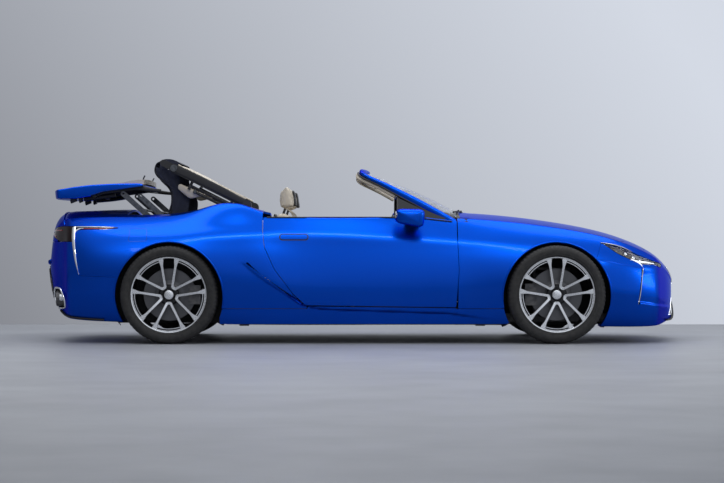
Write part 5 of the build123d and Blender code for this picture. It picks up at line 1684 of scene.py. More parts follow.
class CAR_OT_roof(bpy.types.Operator):
    """Folding roof: rail covers, links, padded front section with its lining, and the rear cloth"""

    bl_idname = "car.roof"
    bl_label = "Folding roof"

    def execute(self, context):
        length = float(np.linalg.norm(FOLD - PIVOT))
        for name, side, _ in sides():
            # outer cover of the rail and the light edge of its lining
            a = np.linspace(0.030, length - 0.02, 40)
            path = beside_rail(a, 0.004 + 0.006 * np.sin(np.pi * a / length), 0.5475 * side)
            wide = np.stack([np.ones(40), np.interp(a, [0, 0.2, length], [0.80, 1.0, 1.05])], -1)
            put(grids("roof_rail_cover_" + name, [swept(path, ring(0.012, 0.058, 20, 3.4), up=RAIL_UP,
                                                        scale=wide)]), "black",
                "roof_main")
            path = beside_rail(a, 0.036 + 0 * a, 0.532 * side)
            put(grids("roof_rail_lining_" + name, [swept(path, ring(0.026, 0.012, 14, 3), up=RAIL_UP)]),
                "cream", "roof_main")
            bars, caps = [], []
            for k, (off, lo, hi) in enumerate(((-0.062, 0.115, 0.450), (-0.090, 0.140, 0.400))):
                bars.append(swept(beside_rail(np.linspace(lo, hi, 20), off, 0.506 * side),
                                  ring(0.014, 0.020, 16, 3.4), up=RAIL_UP))
                for at in (lo, hi):
                    caps.append(turned([(0, 0.010), (0.011, 0.010), (0.014, 0.007), (0.014, -0.007),
                                        (0.011, -0.010), (0, -0.010)],
                                       beside_rail(at, off, 0.508 * side), "y", 24))
            for at in (0.115, 0.450):
                bars.append(swept(beside_rail(at + 0 * np.linspace(0, 1, 8),
                                              np.linspace(-0.010, -0.095, 8), 0.516 * side),
                                  ring(0.010, 0.022, 12, 3.4), up=RAIL))
            put(grids("roof_links_" + name, bars), "black", "roof_main")
            put(grids("roof_link_pins_" + name, caps), "link", "roof_main")
            boss = [turned([(0, 0.012), (0.018, 0.012), (0.024, 0.008), (0.026, 0), (0.026, -0.008),
                            (0, -0.008)],
                           PIVOT + (0, 0.553 * side, 0) if at == 0 else FOLD + (0, 0.549 * side, 0), "y",
                           32) for at in (0, 1)]
            put(grids("roof_joint_caps_" + name, boss), "link", "roof_main")
            # triangular lining between the rail and the rear cloth
            tri = rounded([(-1.370, 1.200), (-1.160, 1.110), (-1.287, 1.080), (-1.383, 1.159)], 80, 10)
            w = np.concatenate([np.linspace(0, 0.85, 6), [0.95, 1.0]])[:, None]
            mid = tri.mean(0)
            swell = 0.014 * np.sqrt(np.clip(1 - w ** 2, 0, 1))
            face = np.stack([mid[0] + (tri[None, :, 0] - mid[0]) * w,
                             0.486 * side + side * swell + 0 * tri[None, :, 0],
                             mid[1] + (tri[None, :, 1] - mid[1]) * w], -1)
            back = face * (1, 0, 1) + (0, 0.480 * side, 0)
            put(grids("roof_quarter_lining_" + name, [(np.concatenate([face, back[::-1]]), False, True)],
                      60), "cream", "roof_main")
        # front section: cloth on the side that is outward when the roof is shut, and here lies below
        way = np.array([math.cos(math.radians(-26.6)), 0, math.sin(math.radians(-26.6))])
        up = np.array([-way[2], 0, way[0]])
        a, b = np.meshgrid(np.linspace(0, 1, 40), np.linspace(-1, 1, 70), indexing="ij")
        edge = (1 - (2 * a - 1) ** 8) * (1 - b ** 10)
        mid = FOLD + up * 0.034
        base = mid + (0.040 + 0.252 * a)[..., None] * way + (0.488 * b)[..., None] * (0, 1, 0)
        sag = 0.006 * np.sin(np.pi * a) * (1 - b ** 2)
        top = base + (0.003 + 0.010 * edge ** 0.5 + 0.5 * sag)[..., None] * up
        under = base - (0.003 + 0.008 * edge ** 0.5 + sag)[..., None] * up
        o = put(grids("roof_front_section", [between(top, under)], 60), "cream", "roof_fore",
                ["roof_front"])
        second_finish(o, "cloth", lambda c, n: n @ up < 0.15)
        rails = []
        for side in (-1, 1):
            line = FOLD + np.linspace(-0.004, 0.292, 30)[:, None] * way + up * 0.010 + (0, 0.479 * side,
                    0)
            rails.append(swept(line, ring(0.026, 0.030, 16, 3.4), up=up))
        line = FOLD + way * 0.286 + up * 0.016 + np.linspace(-0.48, 0.48, 40)[:, None] * (0, 1, 0)
        rails.append(swept(line, ring(0.030, 0.024, 16, 3.4), up=up))
        put(grids("roof_front_frame", rails), "black", "roof_fore")
        # rear cloth: one sheet hung from the bow to the shelf behind the seats, with soft folds that grow downward
        line = smooth_path(np.stack([DRAPE[:, 0], 0 * DRAPE[:, 0], DRAPE[:, 1]], -1), 110)
        v = np.linspace(-1, 1, 120)
        run = np.linspace(0, 1, 110)[:, None]
        d = np.gradient(line, axis=0)
        out = np.stack([-d[:, 2], 0 * d[:, 0], d[:, 0]], -1)
        out /= np.linalg.norm(out, axis=1, keepdims=True)
        fold = 0.010 * np.sin(np.pi * run) * (np.sin(7.0 * v[None] + 2.4 * run) + 0.5
                                              * np.sin(15.0 * v[None] - 3.1 * run + 1.0))
        fold = fold - 0.020 * np.sin(np.pi * run) ** 2 * (1 - v[None] ** 2)
        g = line[:, None] + v[None, :, None] * (0, 0.452, 0) + fold[..., None] * out[:, None]
        drape = grids("roof_rear_cloth", [plate(g, 0.004)], 60)
        put(drape, "cloth", "roof_main", ["roof_drape"])
        cheeks = []
        for name, side, _ in sides():
            outer = smooth_path([(-1.546, 0, 1.322), (-1.548, 0, 1.290), (-1.506, 0, 1.234),
                                 (-1.434, 0, 1.176),
                                 (-1.414, 0, 1.110), (-1.424, 0, 1.030), (-1.420, 0, 0.950)], 70)
            inner = smooth_path([(-1.398, 0, 1.296), (-1.372, 0, 1.262), (-1.366, 0, 1.222),
                                 (-1.345, 0, 1.160),
                                 (-1.300, 0, 1.082), (-1.300, 0, 1.020), (-1.310, 0, 0.950)], 70)
            w = np.linspace(0, 1, 26)[None, :, None]
            g2 = outer[:, None] * (1 - w) + inner[:, None] * w
            bulge = 0.010 * np.sin(np.pi * w[..., 0]) * np.sin(np.pi * np.linspace(0, 1, 70))[:, None]
            ripple = 0.003 * np.sin(9 * w[..., 0] + 6 * np.linspace(0, 1, 70)[:, None])
            g2 = g2 + (0.450 + bulge + ripple)[..., None] * np.array([0, side, 0])
            cheek = put(grids("roof_side_cloth_" + name, [plate(g2, 0.004)], 60), "cloth", "roof_main")
            run = np.linalg.norm(np.diff(g2[:, 13], axis=0), axis=1).sum()
            cheeks.append(cheek)
        # cloth over the fold: rides with the front section, and ends where the rear cloth begins
        line = smooth_path([(-1.366, 0, 1.350), (-1.405, 0, 1.371), (-1.459, 0, 1.381),
                            (-1.498, 0, 1.373), (-1.518, 0, 1.356)], 40)
        lap = line[:, None] + v[None, :, None] * (0, 0.452, 0)
        fold_parts = [plate(lap, 0.004)]
        for side in (-1, 1):
            low = np.stack([line[:, 0], 0 * line[:, 0], np.linspace(1.318, 1.306, 40)], -1)
            w = np.linspace(0, 1, 8)[None, :, None]
            cheek = line[:, None] * (1 - w) + low[:, None] * w + (0, 0.452 * side, 0)
            fold_parts.append(between(cheek, cheek - (0, 0.004 * side, 0)))
        put(grids("roof_fold_cloth", fold_parts, 60), "cloth", "roof_fore")
        hem = swept(g[0] + (0.002, 0, 0.002), ring(0.012, 0.012, 10), up=(0, 0, 1))
        hems = [hem] + [swept(g[:, k], ring(0.010, 0.010, 10), up=(0, 1, 0)) for k in (1, 118)]
        put(grids("roof_cloth_hem", hems, 60), "black", "roof_main")
        for o in (drape, bpy.data.objects["roof_cloth_hem"], *cheeks):
            o.parent = None
            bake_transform(o)
        return {"FINISHED"}


class CAR_OT_cover(bpy.types.Operator):
    """Cover of the roof well: painted slab with rolled edges, dark pan with ribs and latches, and its light trim"""

    bl_idname = "car.cover"
    bl_label = "Roof well cover"

    def execute(self, context):
        edge = [(-2.350, 1.082), (-2.357, 1.149), (-2.200, 1.170), (-2.011, 1.187), (-1.850, 1.195),
                (-1.670, 1.197), (-1.634, 1.190),
                (-1.634, 1.171), (-1.938, 1.131), (-2.034, 1.099), (-2.180, 1.081)]
        g = loaf(edge, -0.558, 0.558, edge=0.010, n=160, soft=2, mid=31, rows=6)
        v = g[..., 1] / 0.558
        g[..., 0] += 0.070 * v ** 2 * ease(-g[..., 0], 2.00, 2.36)
        o = put(loaves("cover_shell", [g]), "paint", "well_cover", ["cover"])
        second_finish(o, "gloss", lambda c, n: (c[:, 0] > -2.03) & (n[:, 2] < -0.2))
        ribs = []
        for y in (-0.50, -0.25, 0, 0.25, 0.50):
            x = np.linspace(-2.02, -1.70, 20)
            ribs.append(swept(np.stack([x, 0 * x + y, np.interp(x, [-2.034, -1.938, -1.634],
                                                                [1.100, 1.130, 1.170]) - 0.004], -1),
                              ring(0.020, 0.018, 10, 3)))
        y = np.linspace(-0.53, 0.53, 50)
        ribs.append(swept(np.stack([0 * y - 2.005, y, 0 * y + 1.100], -1), ring(0.030, 0.016, 12, 3)))
        put(grids("cover_ribs", ribs), "black", "well_cover")
        hooks = []
        for side in (-1, 1):
            for x, wide in ((-2.175, 0.052), (-2.120, 0.030)):
                block = np.array([(x, 0.44 * side, 1.090), (x, 0.44 * side, 1.066),
                                  (x + 0.004, 0.44 * side, 1.056)])
                hooks.append(swept(block, ring(0.050, wide, 12, 4), up=(1, 0, 0)))
            arm = smooth_path([(-1.700, 0.500 * side, 1.168), (-1.640, 0.500 * side, 1.160),
                               (-1.560, 0.500 * side, 1.148), (-1.505, 0.500 * side, 1.142)], 20)
            hooks.append(swept(arm, ring(0.030, 0.030, 14, 4),
                               scale=np.stack([np.ones(20), np.linspace(1.3, 0.8, 20)], -1)))
            tray = np.array([(-2.10, 0.40 * side, 1.084), (-1.86, 0.40 * side, 1.112)])
            hooks.append(swept(smooth_path([tray[0], tray.mean(0) - (0, 0, 0.004), tray[1]], 10),
                               ring(0.060, 0.034, 12, 3)))
        bar = np.stack([0 * y - 1.632, y * 0.93, 0 * y + 1.158], -1)
        hooks.append(swept(bar, ring(0.030, 0.034, 12, 3)))
        put(grids("cover_latches", hooks), "black", "well_cover")
        # light trim on the front edge, raised over the seats when the well is shut
        x = np.linspace(-1.860, -1.636, 30)
        z = 1.205 + 0.030 * ease(x, -1.86, -1.66)
        yy = np.linspace(-0.50, 0.50, 40)
        top = np.stack([np.broadcast_to(x[:, None], (30, 40)), np.broadcast_to(yy, (30, 40)),
                        z[:, None] - 0.008 * (yy[None] / 0.5) ** 2], -1)
        low = top.copy()
        low[..., 2] = np.maximum(1.190, top[..., 2] - 0.036)
        put(grids("cover_light_trim", [between(top, low)], 50), "cream", "well_cover")
        levers = [swept(smooth_path([(-1.655, 0.36 * s, 1.225), (-1.648, 0.36 * s, 1.248),
                                     (-1.640, 0.36 * s, 1.262)], 10), ring(0.030, 0.010, 10, 3))
                  for s in (-1, 1)]
        put(grids("cover_levers", levers), "link", "well_cover")
        return {"FINISHED"}


# ---------------------------------------------------------------- cabin
SEAT_BASE = [(-0.026, 0.305), (-0.036, 0.412), (-0.092, 0.442), (-0.270, 0.424), (-0.438, 0.394),
             (-0.508, 0.305), (-0.420, 0.266), (-0.066, 0.266)]
SEAT_BOLSTER = [(-0.060, 0.300), (-0.068, 0.420), (-0.100, 0.474), (-0.300, 0.510), (-0.432, 0.492),
                (-0.455, 0.360), (-0.420, 0.280), (-0.10, 0.275)]
SEAT_BACK = [(-0.408, 0.385), (-0.445, 0.540), (-0.476, 0.700), (-0.500, 0.850), (-0.526, 0.975),
             (-0.562, 1.002), (-0.636, 0.994), (-0.648, 0.960),
             (-0.596, 0.640), (-0.524, 0.340), (-0.444, 0.338)]
SEAT_WING = [(-0.404, 0.440), (-0.385, 0.560), (-0.408, 0.730), (-0.452, 0.890), (-0.520, 0.932),
             (-0.580, 0.800), (-0.596, 0.640), (-0.520, 0.410)]
SEAT_HEAD = [(-0.490, 1.016), (-0.500, 1.070), (-0.506, 1.120), (-0.522, 1.160), (-0.544, 1.184),
             (-0.572, 1.180), (-0.598, 1.100), (-0.612, 1.010), (-0.560, 0.998)]
SEAT_Y = 0.370
SEAT_CORE = 0.172
SEAT_HALF = 0.234


def shrunk(points, by):
    """Outline drawn in along its normals by a distance, so that a pad can swell back to its size."""
    q = rounded(points, 90, 3)
    d = np.roll(q, -1, 0) - np.roll(q, 1, 0)
    d /= np.linalg.norm(d, axis=1, keepdims=True)
    area = (q[:, 0] * np.roll(q[:, 1], -1) - np.roll(q[:, 0], -1) * q[:, 1]).sum()
    return q - np.stack([d[:, 1], -d[:, 0]], -1) * np.sign(area) * by


class CAR_OT_seats(bpy.types.Operator):
    """Front seats: cushion, back, side bolsters and headrest, swelled as cloth over foam, with channels and piping"""

    bl_idname = "car.seats"
    bl_label = "Front seats"

    def execute(self, context):
        swell = context.scene.car_cabin.swell
        pads = {}
        for name, outline_, half, cuts in (("cushion", SEAT_BASE, SEAT_CORE,
                                            (0, (-0.15, -0.23, -0.31, -0.39))),
                                           ("back", SEAT_BACK, SEAT_CORE,
                                            (2, (0.50, 0.59, 0.68, 0.77, 0.86))),
                                           ("headrest", SEAT_HEAD, 0.140, (2, ()))):
            g = loaf(shrunk(outline_, 0.010), SEAT_Y - half + 0.006, SEAT_Y + half - 0.006, edge=0.026,
                     n=90, mid=9, rows=5)
            o = puff(loaves("seat_" + name + "_left", [g]), swell)
            if cuts[1]:
                channels(o, cuts[0], cuts[1], half - 0.030, 0.007, 0.007, SEAT_Y)
            pads[name] = (o, 0.75)
        wings = [loaf(p, y - 0.032, y + 0.032, edge=0.026, n=90, mid=3, rows=6, crown=0.004)
                 for y in (SEAT_Y - SEAT_HALF + 0.036, SEAT_Y + SEAT_HALF - 0.036)
                 for p in (SEAT_BOLSTER, SEAT_WING)]
        pads["bolsters"] = (loaves("seat_bolsters_left", wings, 70), 0.8)
        piping = []
        for y in (SEAT_Y - SEAT_CORE + 0.004, SEAT_Y + SEAT_CORE - 0.004):
            for p in (SEAT_BACK[:6], SEAT_BASE[1:5]):
                q = smooth_path([(a, y, b) for a, b in p], 50) + (0.004, 0, 0.004)
                piping.append(swept(q, ring(0.007, 0.007, 8), up=(0, 1, 0)))
        piping.append(swept(np.stack([np.full(40, -0.560), SEAT_Y + np.linspace(-0.10, 0.10, 40),
                                      np.full(40, 1.004)], -1), ring(0.012, 0.010, 8)))
        pads["piping"] = (grids("seat_piping_left", piping), None)
        insert = loaf([(-0.494, 1.030), (-0.503, 1.080), (-0.509, 1.125), (-0.522, 1.148),
                       (-0.530, 1.090), (-0.515, 1.030)], SEAT_Y - 0.085,
                      SEAT_Y + 0.085, edge=0.016, n=60, crown=0.006)
        insert[..., 0] += 0.012
        pads["head_insert"] = (loaves("seat_head_insert_left", [insert], 70), 0.6)
        posts = [swept(smooth_path([(-0.590, SEAT_Y + d, 0.95), (-0.572, SEAT_Y + d, 1.00),
                                    (-0.556, SEAT_Y + d, 1.06)], 12), ring(0.014, 0.014, 16))
                 for d in (-0.06, 0.06)]
        rails = [swept([(x, y, 0.234) for x in np.linspace(-0.50, -0.04, 12)], ring(0.040, 0.056, 14, 4))
                 for y in (SEAT_Y - 0.2, SEAT_Y + 0.2)]
        hard = grids("seat_frame_left", posts + rails)
        shell = loaf([(-0.640, 0.985), (-0.655, 0.955), (-0.604, 0.640), (-0.530, 0.330), (-0.516, 0.345),
                      (-0.590, 0.650), (-0.632, 0.955)],
                     SEAT_Y - 0.20, SEAT_Y + 0.20, edge=0.006, n=90)
        back_shell = loaves("seat_back_shell_left", [shell])
        for key, (o, fill) in pads.items():
            for side in ("left", "right"):
                c = o if side == "left" else other_side(o, o.name.replace("left", "right"))
                put(c, {"piping": "seam", "head_insert": "dark_leather"}.get(key, "cream"), "body",
                    ["seat_" + side] if key == "cushion" else ())
        for o, material in ((hard, "link"), (back_shell, "dark_leather")):
            c = other_side(o, o.name.replace("left", "right"))
            for k in (o, c):
                put(k, material, "body")
        return {"FINISHED"}


class CAR_OT_rear_seats(bpy.types.Operator):
    """Small rear bench with two hollowed places"""

    bl_idname = "car.rear_seats"
    bl_label = "Rear seats"

    def execute(self, context):
        parts = []
        for s in (-1, 1):
            y0, y1 = (0.070, 0.555) if s > 0 else (-0.555, -0.070)
            parts.append(loaf([(-0.655, 0.405), (-0.652, 0.452), (-0.690, 0.472), (-0.785, 0.462),
                               (-0.795, 0.405)], y0, y1, edge=0.028, crown=0.004))
            parts.append(loaf([(-0.790, 0.455), (-0.712, 0.448), (-0.704, 0.56), (-0.718, 0.80),
                               (-0.738, 0.905), (-0.775, 0.928), (-0.797, 0.905)], y0, y1,
                              edge=0.030, crown=0.006))
        o = loaves("rear_bench_pads", parts, 70)
        put(o, "cream", "body", ["rear_seats"])
        tunnel = loaf([(-0.655, 0.405), (-0.655, 0.49), (-0.705, 0.60), (-0.735, 0.90), (-0.795, 0.90),
                       (-0.795, 0.405)], -0.066, 0.066, edge=0.012)
        put(loaves("rear_bench_middle", [tunnel]), "dark_leather", "body")
        seams = [swept(np.stack([0 * y - 0.7035, y, 0 * y + z], -1), ring(0.006, 0.006, 8))
                 for z in (0.60, 0.70) for y in
                 (np.linspace(0.11, 0.515, 20), np.linspace(-0.515, -0.11, 20))]
        put(grids("rear_bench_seams", seams), "seam", "body")
        return {"FINISHED"}


class CAR_OT_dashboard(bpy.types.Operator):
    """Dashboard: dark padded top, light lower pad, instrument hood, screen, vents and console"""

    bl_idname = "car.dashboard"
    bl_label = "Dashboard and console"

    def execute(self, context):
        top = [(0.698, 0.840), (0.698, 0.888), (0.639, 0.902), (0.560, 0.908), (0.430, 0.894),
               (0.374, 0.862), (0.380, 0.830), (0.50, 0.80)]
        low = [(0.698, 0.610), (0.698, 0.842), (0.50, 0.815), (0.400, 0.822), (0.370, 0.792),
               (0.424, 0.702), (0.524, 0.642)]
        put(loaves("dash_top", [loaf(top, -0.688, 0.688, edge=0.016, mid=3)], 60), "dark_leather", "body",
            ["dashboard"])
        put(loaves("dash_pad", [loaf(low, -0.686, 0.686, edge=0.014, mid=3)], 60), "cream", "body")
        y = np.linspace(-0.67, 0.67, 80)
        line = np.stack([0 * y + 0.374, y, 0 * y + 0.826], -1)
        put(grids("dash_bright_line", [swept(line, ring(0.008, 0.006, 8))]), "chrome", "body")
        hood = []
        a = np.linspace(0, 2 * np.pi, 48, endpoint=False)
        for x, w, h in ((0.470, 0.150, 0.050), (0.440, 0.158, 0.058), (0.385, 0.160, 0.056),
                        (0.372, 0.156, 0.052), (0.376, 0.148, 0.046), (0.430, 0.146, 0.044)):
            hood.append(np.stack([0 * a + x - 0.02 * np.sin(a),
                                  0.370 + w * np.sign(np.cos(a)) * np.abs(np.cos(a)) ** 0.7,
                                  0.872 + h * np.sin(a)], -1))
        hood = np.stack(hood)
        ends = np.repeat(hood[[0, -1]].mean(1, keepdims=True), 48, 1)
        put(grids("instrument_hood", [(np.concatenate([ends[:1], hood, ends[1:]]), False, True)]),
            "dark_leather", "body")
        dials = []
        for dy, r in ((-0.085, 0.034), (0, 0.044), (0.085, 0.034)):
            dials.append(turned([(0, 0.004), (r * 0.9, 0.004), (r * 0.9, 0.0), (r, -0.004),
                                 (r * 1.06, 0.0), (r * 1.06, 0.010), (0, 0.010)],
                                (0.418, 0.370 + dy, 0.872), "x", 40))
        put(grids("instrument_rings", dials), "chrome", "body")
        screen = loaf([(0.384, 0.905), (0.372, 0.962), (0.380, 0.965), (0.394, 0.905)], -0.16, 0.16,
                      edge=0.004, n=60, soft=1)
        put(loaves("dash_screen", [screen]), "gloss", "body")
        vents = []
        for y0 in (-0.60, -0.09, 0.09, 0.60):
            for k in range(4):
                z = 0.722 + 0.016 * k
                vents.append(swept([(0.398 - 0.10 * (z - 0.722), y0 + d, z)
                                    for d in np.linspace(-0.055, 0.055, 8)], ring(0.010, 0.003, 8, 3)))
            frame_ = ring(0.128, 0.076, 36, 4)
            vents.append(swept(np.stack([0.400 - 0.1 * frame_[:, 1], y0 + frame_[:, 0],
                                         0.746 + frame_[:, 1]], -1), ring(0.007, 0.010, 8), up=(1, 0, 0),
                               closed=True))
        put(grids("dash_vents", vents), "black", "body")
        side = [(0.396, 0.400), (0.408, 0.634), (0.348, 0.684), (0.118, 0.594), (-0.420, 0.560),
                (-0.555, 0.536), (-0.556, 0.404)]
        put(loaves("console_body", [loaf(side, -0.116, 0.116, edge=0.014)]), "dark_leather", "body",
            ["console"])
        arm = loaf([(-0.555, 0.545), (-0.200, 0.572), (-0.190, 0.590), (-0.260, 0.606), (-0.540, 0.590),
                    (-0.562, 0.570)], -0.098, 0.098, edge=0.020, crown=0.004)
        o = loaves("console_armrest", [arm], 70)
        put(o, "cream", "body")
        knob = turned([(0, 0.695), (0.018, 0.694), (0.025, 0.682), (0.024, 0.662), (0.015, 0.640),
                       (0.012, 0.600), (0.034, 0.590), (0.036, 0.575), (0, 0.575)],
                      (0.030, 0.0, 0), "z", 32)
        put(grids("gear_knob", [knob]), "dark_leather", "body")
        plate_ = loaf([(0.105, 0.594), (0.100, 0.600), (-0.165, 0.580), (-0.165, 0.572)], -0.085, 0.085,
                      edge=0.003, n=60, soft=1)
        put(loaves("console_plate", [plate_]), "gloss", "body")
        return {"FINISHED"}


class CAR_OT_steering(bpy.types.Operator):
    """Steering wheel with padded rim, three spokes and boss, on its column"""

    bl_idname = "car.steering"
    bl_label = "Steering wheel"

    def execute(self, context):
        lean = math.radians(24)
        mid = np.array([0.195, 0.370, 0.795])
        out = np.array([-math.cos(lean), 0, math.sin(lean)])
        up = np.array([math.sin(lean), 0, math.cos(lean)])
        across = np.array([0, 1.0, 0])
        a = np.linspace(0, 2 * np.pi, 120, endpoint=False)[:, None]
        rim = mid + 0.181 * (np.cos(a) * across + np.sin(a) * up)
        put(grids("steering_rim", [swept(rim, ring(0.029, 0.026, 16), up=out, closed=True)], 60),
            "dark_leather", "steering",
            ["steering_wheel"])
        spokes = []
        for deg in (0, 180, 270):
            d = math.cos(math.radians(deg)) * across + math.sin(math.radians(deg)) * up
            k = np.linspace(0.030, 0.172, 14)[:, None]
            path = mid + k * d + out * (-0.020 + 0.020 * (k / 0.172) ** 2)
            spokes.append(swept(path, ring(0.042 if deg != 270 else 0.052, 0.012, 14, 3), up=out,
                                scale=np.stack([np.interp(k[:, 0], [0.03, 0.172], [1.25, 0.75]),
                                                np.ones(14)], -1)))
        put(grids("steering_spokes", spokes), "silver", "steering")
        b = np.linspace(0, 1, 10)[:, None, None]
        o = ring(0.125, 0.105, 40, 2.8)
        flat = o[None, :, :1] * across + o[None, :, 1:] * up
        boss = mid + flat * np.sqrt(np.clip(1 - b ** 3, 0, 1)) + out * (0.024 * b - 0.006)
        base = mid + flat * np.linspace(0, 1, 4)[:, None, None] - out * 0.026
        put(grids("steering_boss", [(np.concatenate([base, boss]), False, True)]), "dark_leather",
            "steering")
        path = mid - out * 0.03 + np.linspace(0, 1, 14)[:, None] * np.array([0.150, 0, -0.055])
        put(grids("steering_column", [swept(path, ring(0.090, 0.080, 24, 3), up=up)]), "black", "body")
        return {"FINISHED"}


class CAR_OT_floor_trim(bpy.types.Operator):
    """Carpet mats and belts"""

    bl_idname = "car.floor_trim"
    bl_label = "Carpet and belts"

    def execute(self, context):
        for name, side, _ in sides():
            x, y = np.meshgrid(np.linspace(-0.02, 0.60, 40), np.linspace(-0.25, 0.25, 30), indexing="ij")
            mat = np.stack([x, y + 0.400 * side, 0.206 + 0.002 * np.sin(7 * x) * np.sin(5 * y)], -1)
            put(grids("floor_mat_" + name, [plate(mat, -0.004)]), "carpet", "body")
            belt = smooth_path([(-0.700, 0.700 * side, 0.880), (-0.690, 0.695 * side, 0.70),
                                (-0.66, 0.690 * side, 0.50), (-0.60, 0.66 * side, 0.34)], 40)
            put(grids("seat_belt_" + name, [swept(belt, ring(0.046, 0.003, 12, 4), up=(0, 1, 0))]),
                "black", "body")
        return {"FINISHED"}


# ---------------------------------------------------------------- solids that stay
NODE_FINISH = {
    "tub": "carpet", "front_subframe": "iron", "rear_subframe": "iron", "exhaust": "iron",
    "knuckle_left": "iron", "knuckle_right": "iron", "roof_rails": "black", "cover_links_front": "link",
    "cover_links_rear": "link",
}


class CAR_OT_engine(bpy.types.Operator):
    """Engine: ribbed cast block under a rounded black cover with its filler cap"""

    bl_idname = "car.engine"
    bl_label = "Engine"

    def execute(self, context):
        (x0, y0, z0), (x1, y1, z1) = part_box("engine_block")
        top = z1 - 0.17
        low = [(x0 + 0.02, z0), (x1 - 0.08, z0), (x1 - 0.01, z0 + 0.12), (x1 - 0.01, top),
               (x0 + 0.01, top)]
        high = [(x0 + 0.02, top + 0.004), (x1 - 0.02, top + 0.004), (x1 - 0.004, top + 0.06),
                (x1 - 0.12, z1 - 0.010),
                (x0 + 0.06, z1 - 0.004), (x0 + 0.006, top + 0.08)]
        put(loaves("engine_casting", [loaf(low, y0 + 0.04, y1 - 0.04, edge=0.03, n=100, soft=4, mid=9)]),
            "alloy", "body",
            ["engine_block"])
        put(loaves("engine_cover", [loaf(high, y0 + 0.004, y1 - 0.004, edge=0.05, n=120, soft=8, mid=9,
                                         rows=8)]), "black",
            "body")
        x = np.linspace(x0 + 0.10, x1 - 0.16, 24)
        parts = [swept(np.stack([x, 0 * x + y, z1 - 0.008 - 0.010 * (x - x0)], -1),
                       ring(0.016, 0.016, 12, 3))
                 for y in np.linspace(-0.15, 0.15, 6)]
        rim = [(0, 0.012), (0.026, 0.012), (0.034, 0.007), (0.036, -0.02), (0, -0.02)]
        parts.append(turned(rim, (x1 - 0.20, y1 - 0.07, z1 - 0.022), "z", 40))
        for side in (-1, 1):
            for k in np.linspace(x0 + 0.10, x1 - 0.12, 6):
                rib = np.stack([np.full(10, k), np.full(10, (y1 - 0.040) * side),
                                np.linspace(z0 + 0.08, top - 0.03, 10)], -1)
                parts.append(swept(rib, ring(0.014, 0.018, 10, 3), up=(0, 1, 0)))
        put(grids("engine_ribs", parts), "alloy", "body")
        return {"FINISHED"}


class CAR_OT_solids(bpy.types.Operator):
    """Finishes of the solids that stay as they are"""

    bl_idname = "car.solids"
    bl_label = "Plain solids"

    def execute(self, context):
        for name, finish in NODE_FINISH.items():
            o = frame["nodes"][name]
            o.data.materials.clear()
            o.data.materials.append(MATS[finish])
        return {"FINISHED"}


# ---------------------------------------------------------------- stage
def studio_light(tree):
    """World: camera, mirror and clear rays see a wall whose grey grows lighter along X and up, others an even air."""
    tree.nodes.clear()
    link = tree.links.new

    def node(kind, **settings):
        n = tree.nodes.new("ShaderNode" + kind)
        for k, v in settings.items():
            setattr(n, k, v)
        return n

    slope = node("VectorMath", operation="DOT_PRODUCT")
    slope.inputs[1].default_value = (1.2, 0, 0.9)
    reach = node("MapRange")
    reach.inputs["From Min"].default_value = -0.30
    reach.inputs["From Max"].default_value = 0.30
    ramp = node("ValToRGB")
    for stop, at, colour in zip(ramp.color_ramp.elements, (0.12, 0.92),
                                ((0.25, 0.26, 0.29, 1), (0.66, 0.70, 0.78, 1))):
        stop.position, stop.color = at, colour
    wall, air, mix = node("Background"), node("Background"), node("MixShader")
    air.inputs["Color"].default_value = (0.62, 0.66, 0.72, 1)
    air.inputs["Strength"].default_value = 0.32
    link(node("TexCoord").outputs["Generated"], slope.inputs[0])
    link(slope.outputs["Value"], reach.inputs["Value"])
    link(reach.outputs["Result"], ramp.inputs["Fac"])
    link(ramp.outputs["Color"], wall.inputs["Color"])
    ray = node("LightPath")
    seen = ray.outputs["Is Camera Ray"]
    for kind in ("Is Glossy Ray", "Is Transmission Ray"):
        either = node("Math", operation="ADD", use_clamp=True)
        link(seen, either.inputs[0])
        link(ray.outputs[kind], either.inputs[1])
        seen = either.outputs[0]
    link(seen, mix.inputs["Fac"])
    link(air.outputs[0], mix.inputs[1])
    link(wall.outputs[0], mix.inputs[2])
    link(mix.outputs[0], node("OutputWorld").inputs["Surface"])


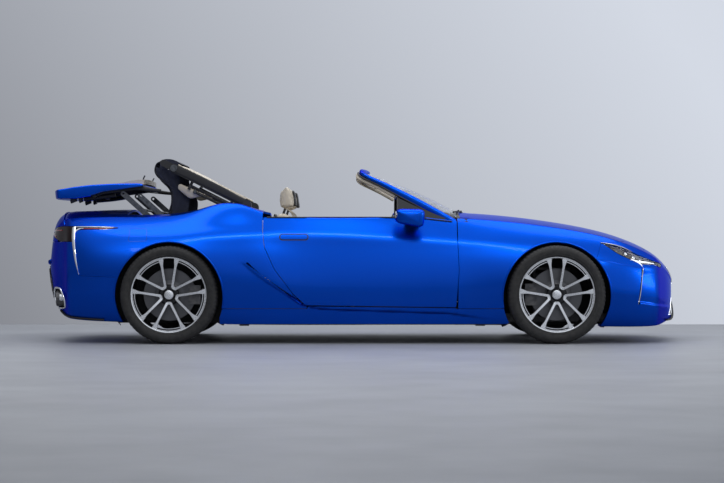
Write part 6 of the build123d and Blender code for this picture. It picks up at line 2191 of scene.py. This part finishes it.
class CAR_OT_stage(bpy.types.Operator):
    """Pale floor, soft studio lamps, plain backdrop and the camera at the car's side"""

    bl_idname = "car.stage"
    bl_label = "Stage"

    def execute(self, context):
        # floor: a sheet in the plane z = 0 that ends behind the car, where the backdrop's colour takes over
        x, y = np.meshgrid(np.linspace(-30, 30, 7), np.linspace(-18, 2.9, 7), indexing="ij")
        floor = new_object("floor", np.stack([x, y, 0 * x], -1), grid_faces(7, 7).tolist())
        f = Finish("studio_floor", (0.34, 0.355, 0.39), 0.5)
        f.colours(f.noise(1.1, 8), (0.25, (0.29, 0.30, 0.335)), (0.8, (0.39, 0.41, 0.445)))
        f.rough(f.noise(2.3, 8), 0.38, 0.6)
        floor.data.materials.append(f.m)
        world = bpy.data.worlds.new("studio")
        context.scene.world = world
        world.use_nodes = True
        studio_light(world.node_tree)
        for name, at, aim, size, power in (("top_lamp", (0.3, -0.6, 5.2), (0.1, 0, 0.4), (8.0, 2.6), 150),
                                           ("side_lamp", (0.5, -6.8, 6.4), (0, 0, 0.7), (9.0, 0.7), 185),
                                           ("front_lamp", (7.5, -3.0, 2.6), (0.6, 0, 0.6), (2.5, 2.5),
                                            80),
                                           ("back_lamp", (-1.0, 4.6, 6.2), (0, 0, 0.7), (7.0, 1.6), 110)):
            data = bpy.data.lights.new(name, "AREA")
            data.shape = "RECTANGLE"
            data.size, data.size_y = size
            data.energy = power
            lamp = bpy.data.objects.new(name, data)
            context.collection.objects.link(lamp)
            lamp.location = at
            lamp.rotation_euler = (Vector(aim) - Vector(at)).to_track_quat("-Z", "Y").to_euler()
        cam = bpy.data.objects.new("camera", bpy.data.cameras.new("camera"))
        context.collection.objects.link(cam)
        cam.data.lens = 107.8
        cam.location = (0.018, -16.93, 0.758)
        cam.rotation_euler = (math.pi / 2, 0, 0)
        cam.data.clip_end = 200
        context.scene.camera = cam
        context.scene.view_settings.view_transform = "Standard"
        return {"FINISHED"}


# ---------------------------------------------------------------- add-on
OPERATORS = [CAR_OT_wings, CAR_OT_doors, CAR_OT_quarters, CAR_OT_bumpers, CAR_OT_lids, CAR_OT_sills,
             CAR_OT_wheels, CAR_OT_door_trim, CAR_OT_mirrors,
             CAR_OT_windscreen, CAR_OT_headlamps, CAR_OT_grille, CAR_OT_tail,
             CAR_OT_roof, CAR_OT_cover, CAR_OT_seats, CAR_OT_rear_seats, CAR_OT_dashboard,
             CAR_OT_steering,
             CAR_OT_floor_trim, CAR_OT_engine, CAR_OT_solids, CAR_OT_stage]
SETTINGS = {"car_body": CarBodySettings, "car_wheels": CarWheelSettings, "car_cabin": CarCabinSettings}


class CAR_PT_panel(bpy.types.Panel):
    """Sizes, colours and pieces of the car"""

    bl_idname = "CAR_PT_panel"
    bl_label = "Car"
    bl_space_type = "VIEW_3D"
    bl_region_type = "UI"
    bl_category = "Car"

    def draw(self, context):
        for name, kind in SETTINGS.items():
            box = self.layout.box()
            for prop in kind.__annotations__:
                box.prop(getattr(context.scene, name), prop)
        for op in OPERATORS:
            self.layout.operator(op.bl_idname)


def register():
    for c in (*SETTINGS.values(), *OPERATORS, CAR_PT_panel):
        bpy.utils.register_class(c)
    for name, kind in SETTINGS.items():
        setattr(bpy.types.Scene, name, PointerProperty(type=kind))


def unregister():
    for name in SETTINGS:
        delattr(bpy.types.Scene, name)
    for c in reversed((*SETTINGS.values(), *OPERATORS, CAR_PT_panel)):
        bpy.utils.unregister_class(c)


def main():
    register()
    scene = bpy.context.scene
    make_finishes(tuple(scene.car_body.paint), tuple(scene.car_cabin.leather),
                  tuple(scene.car_cabin.cloth))
    for op in OPERATORS:
        getattr(bpy.ops.car, op.bl_idname.split(".")[1])()


if __name__ == "__main__":
    main()
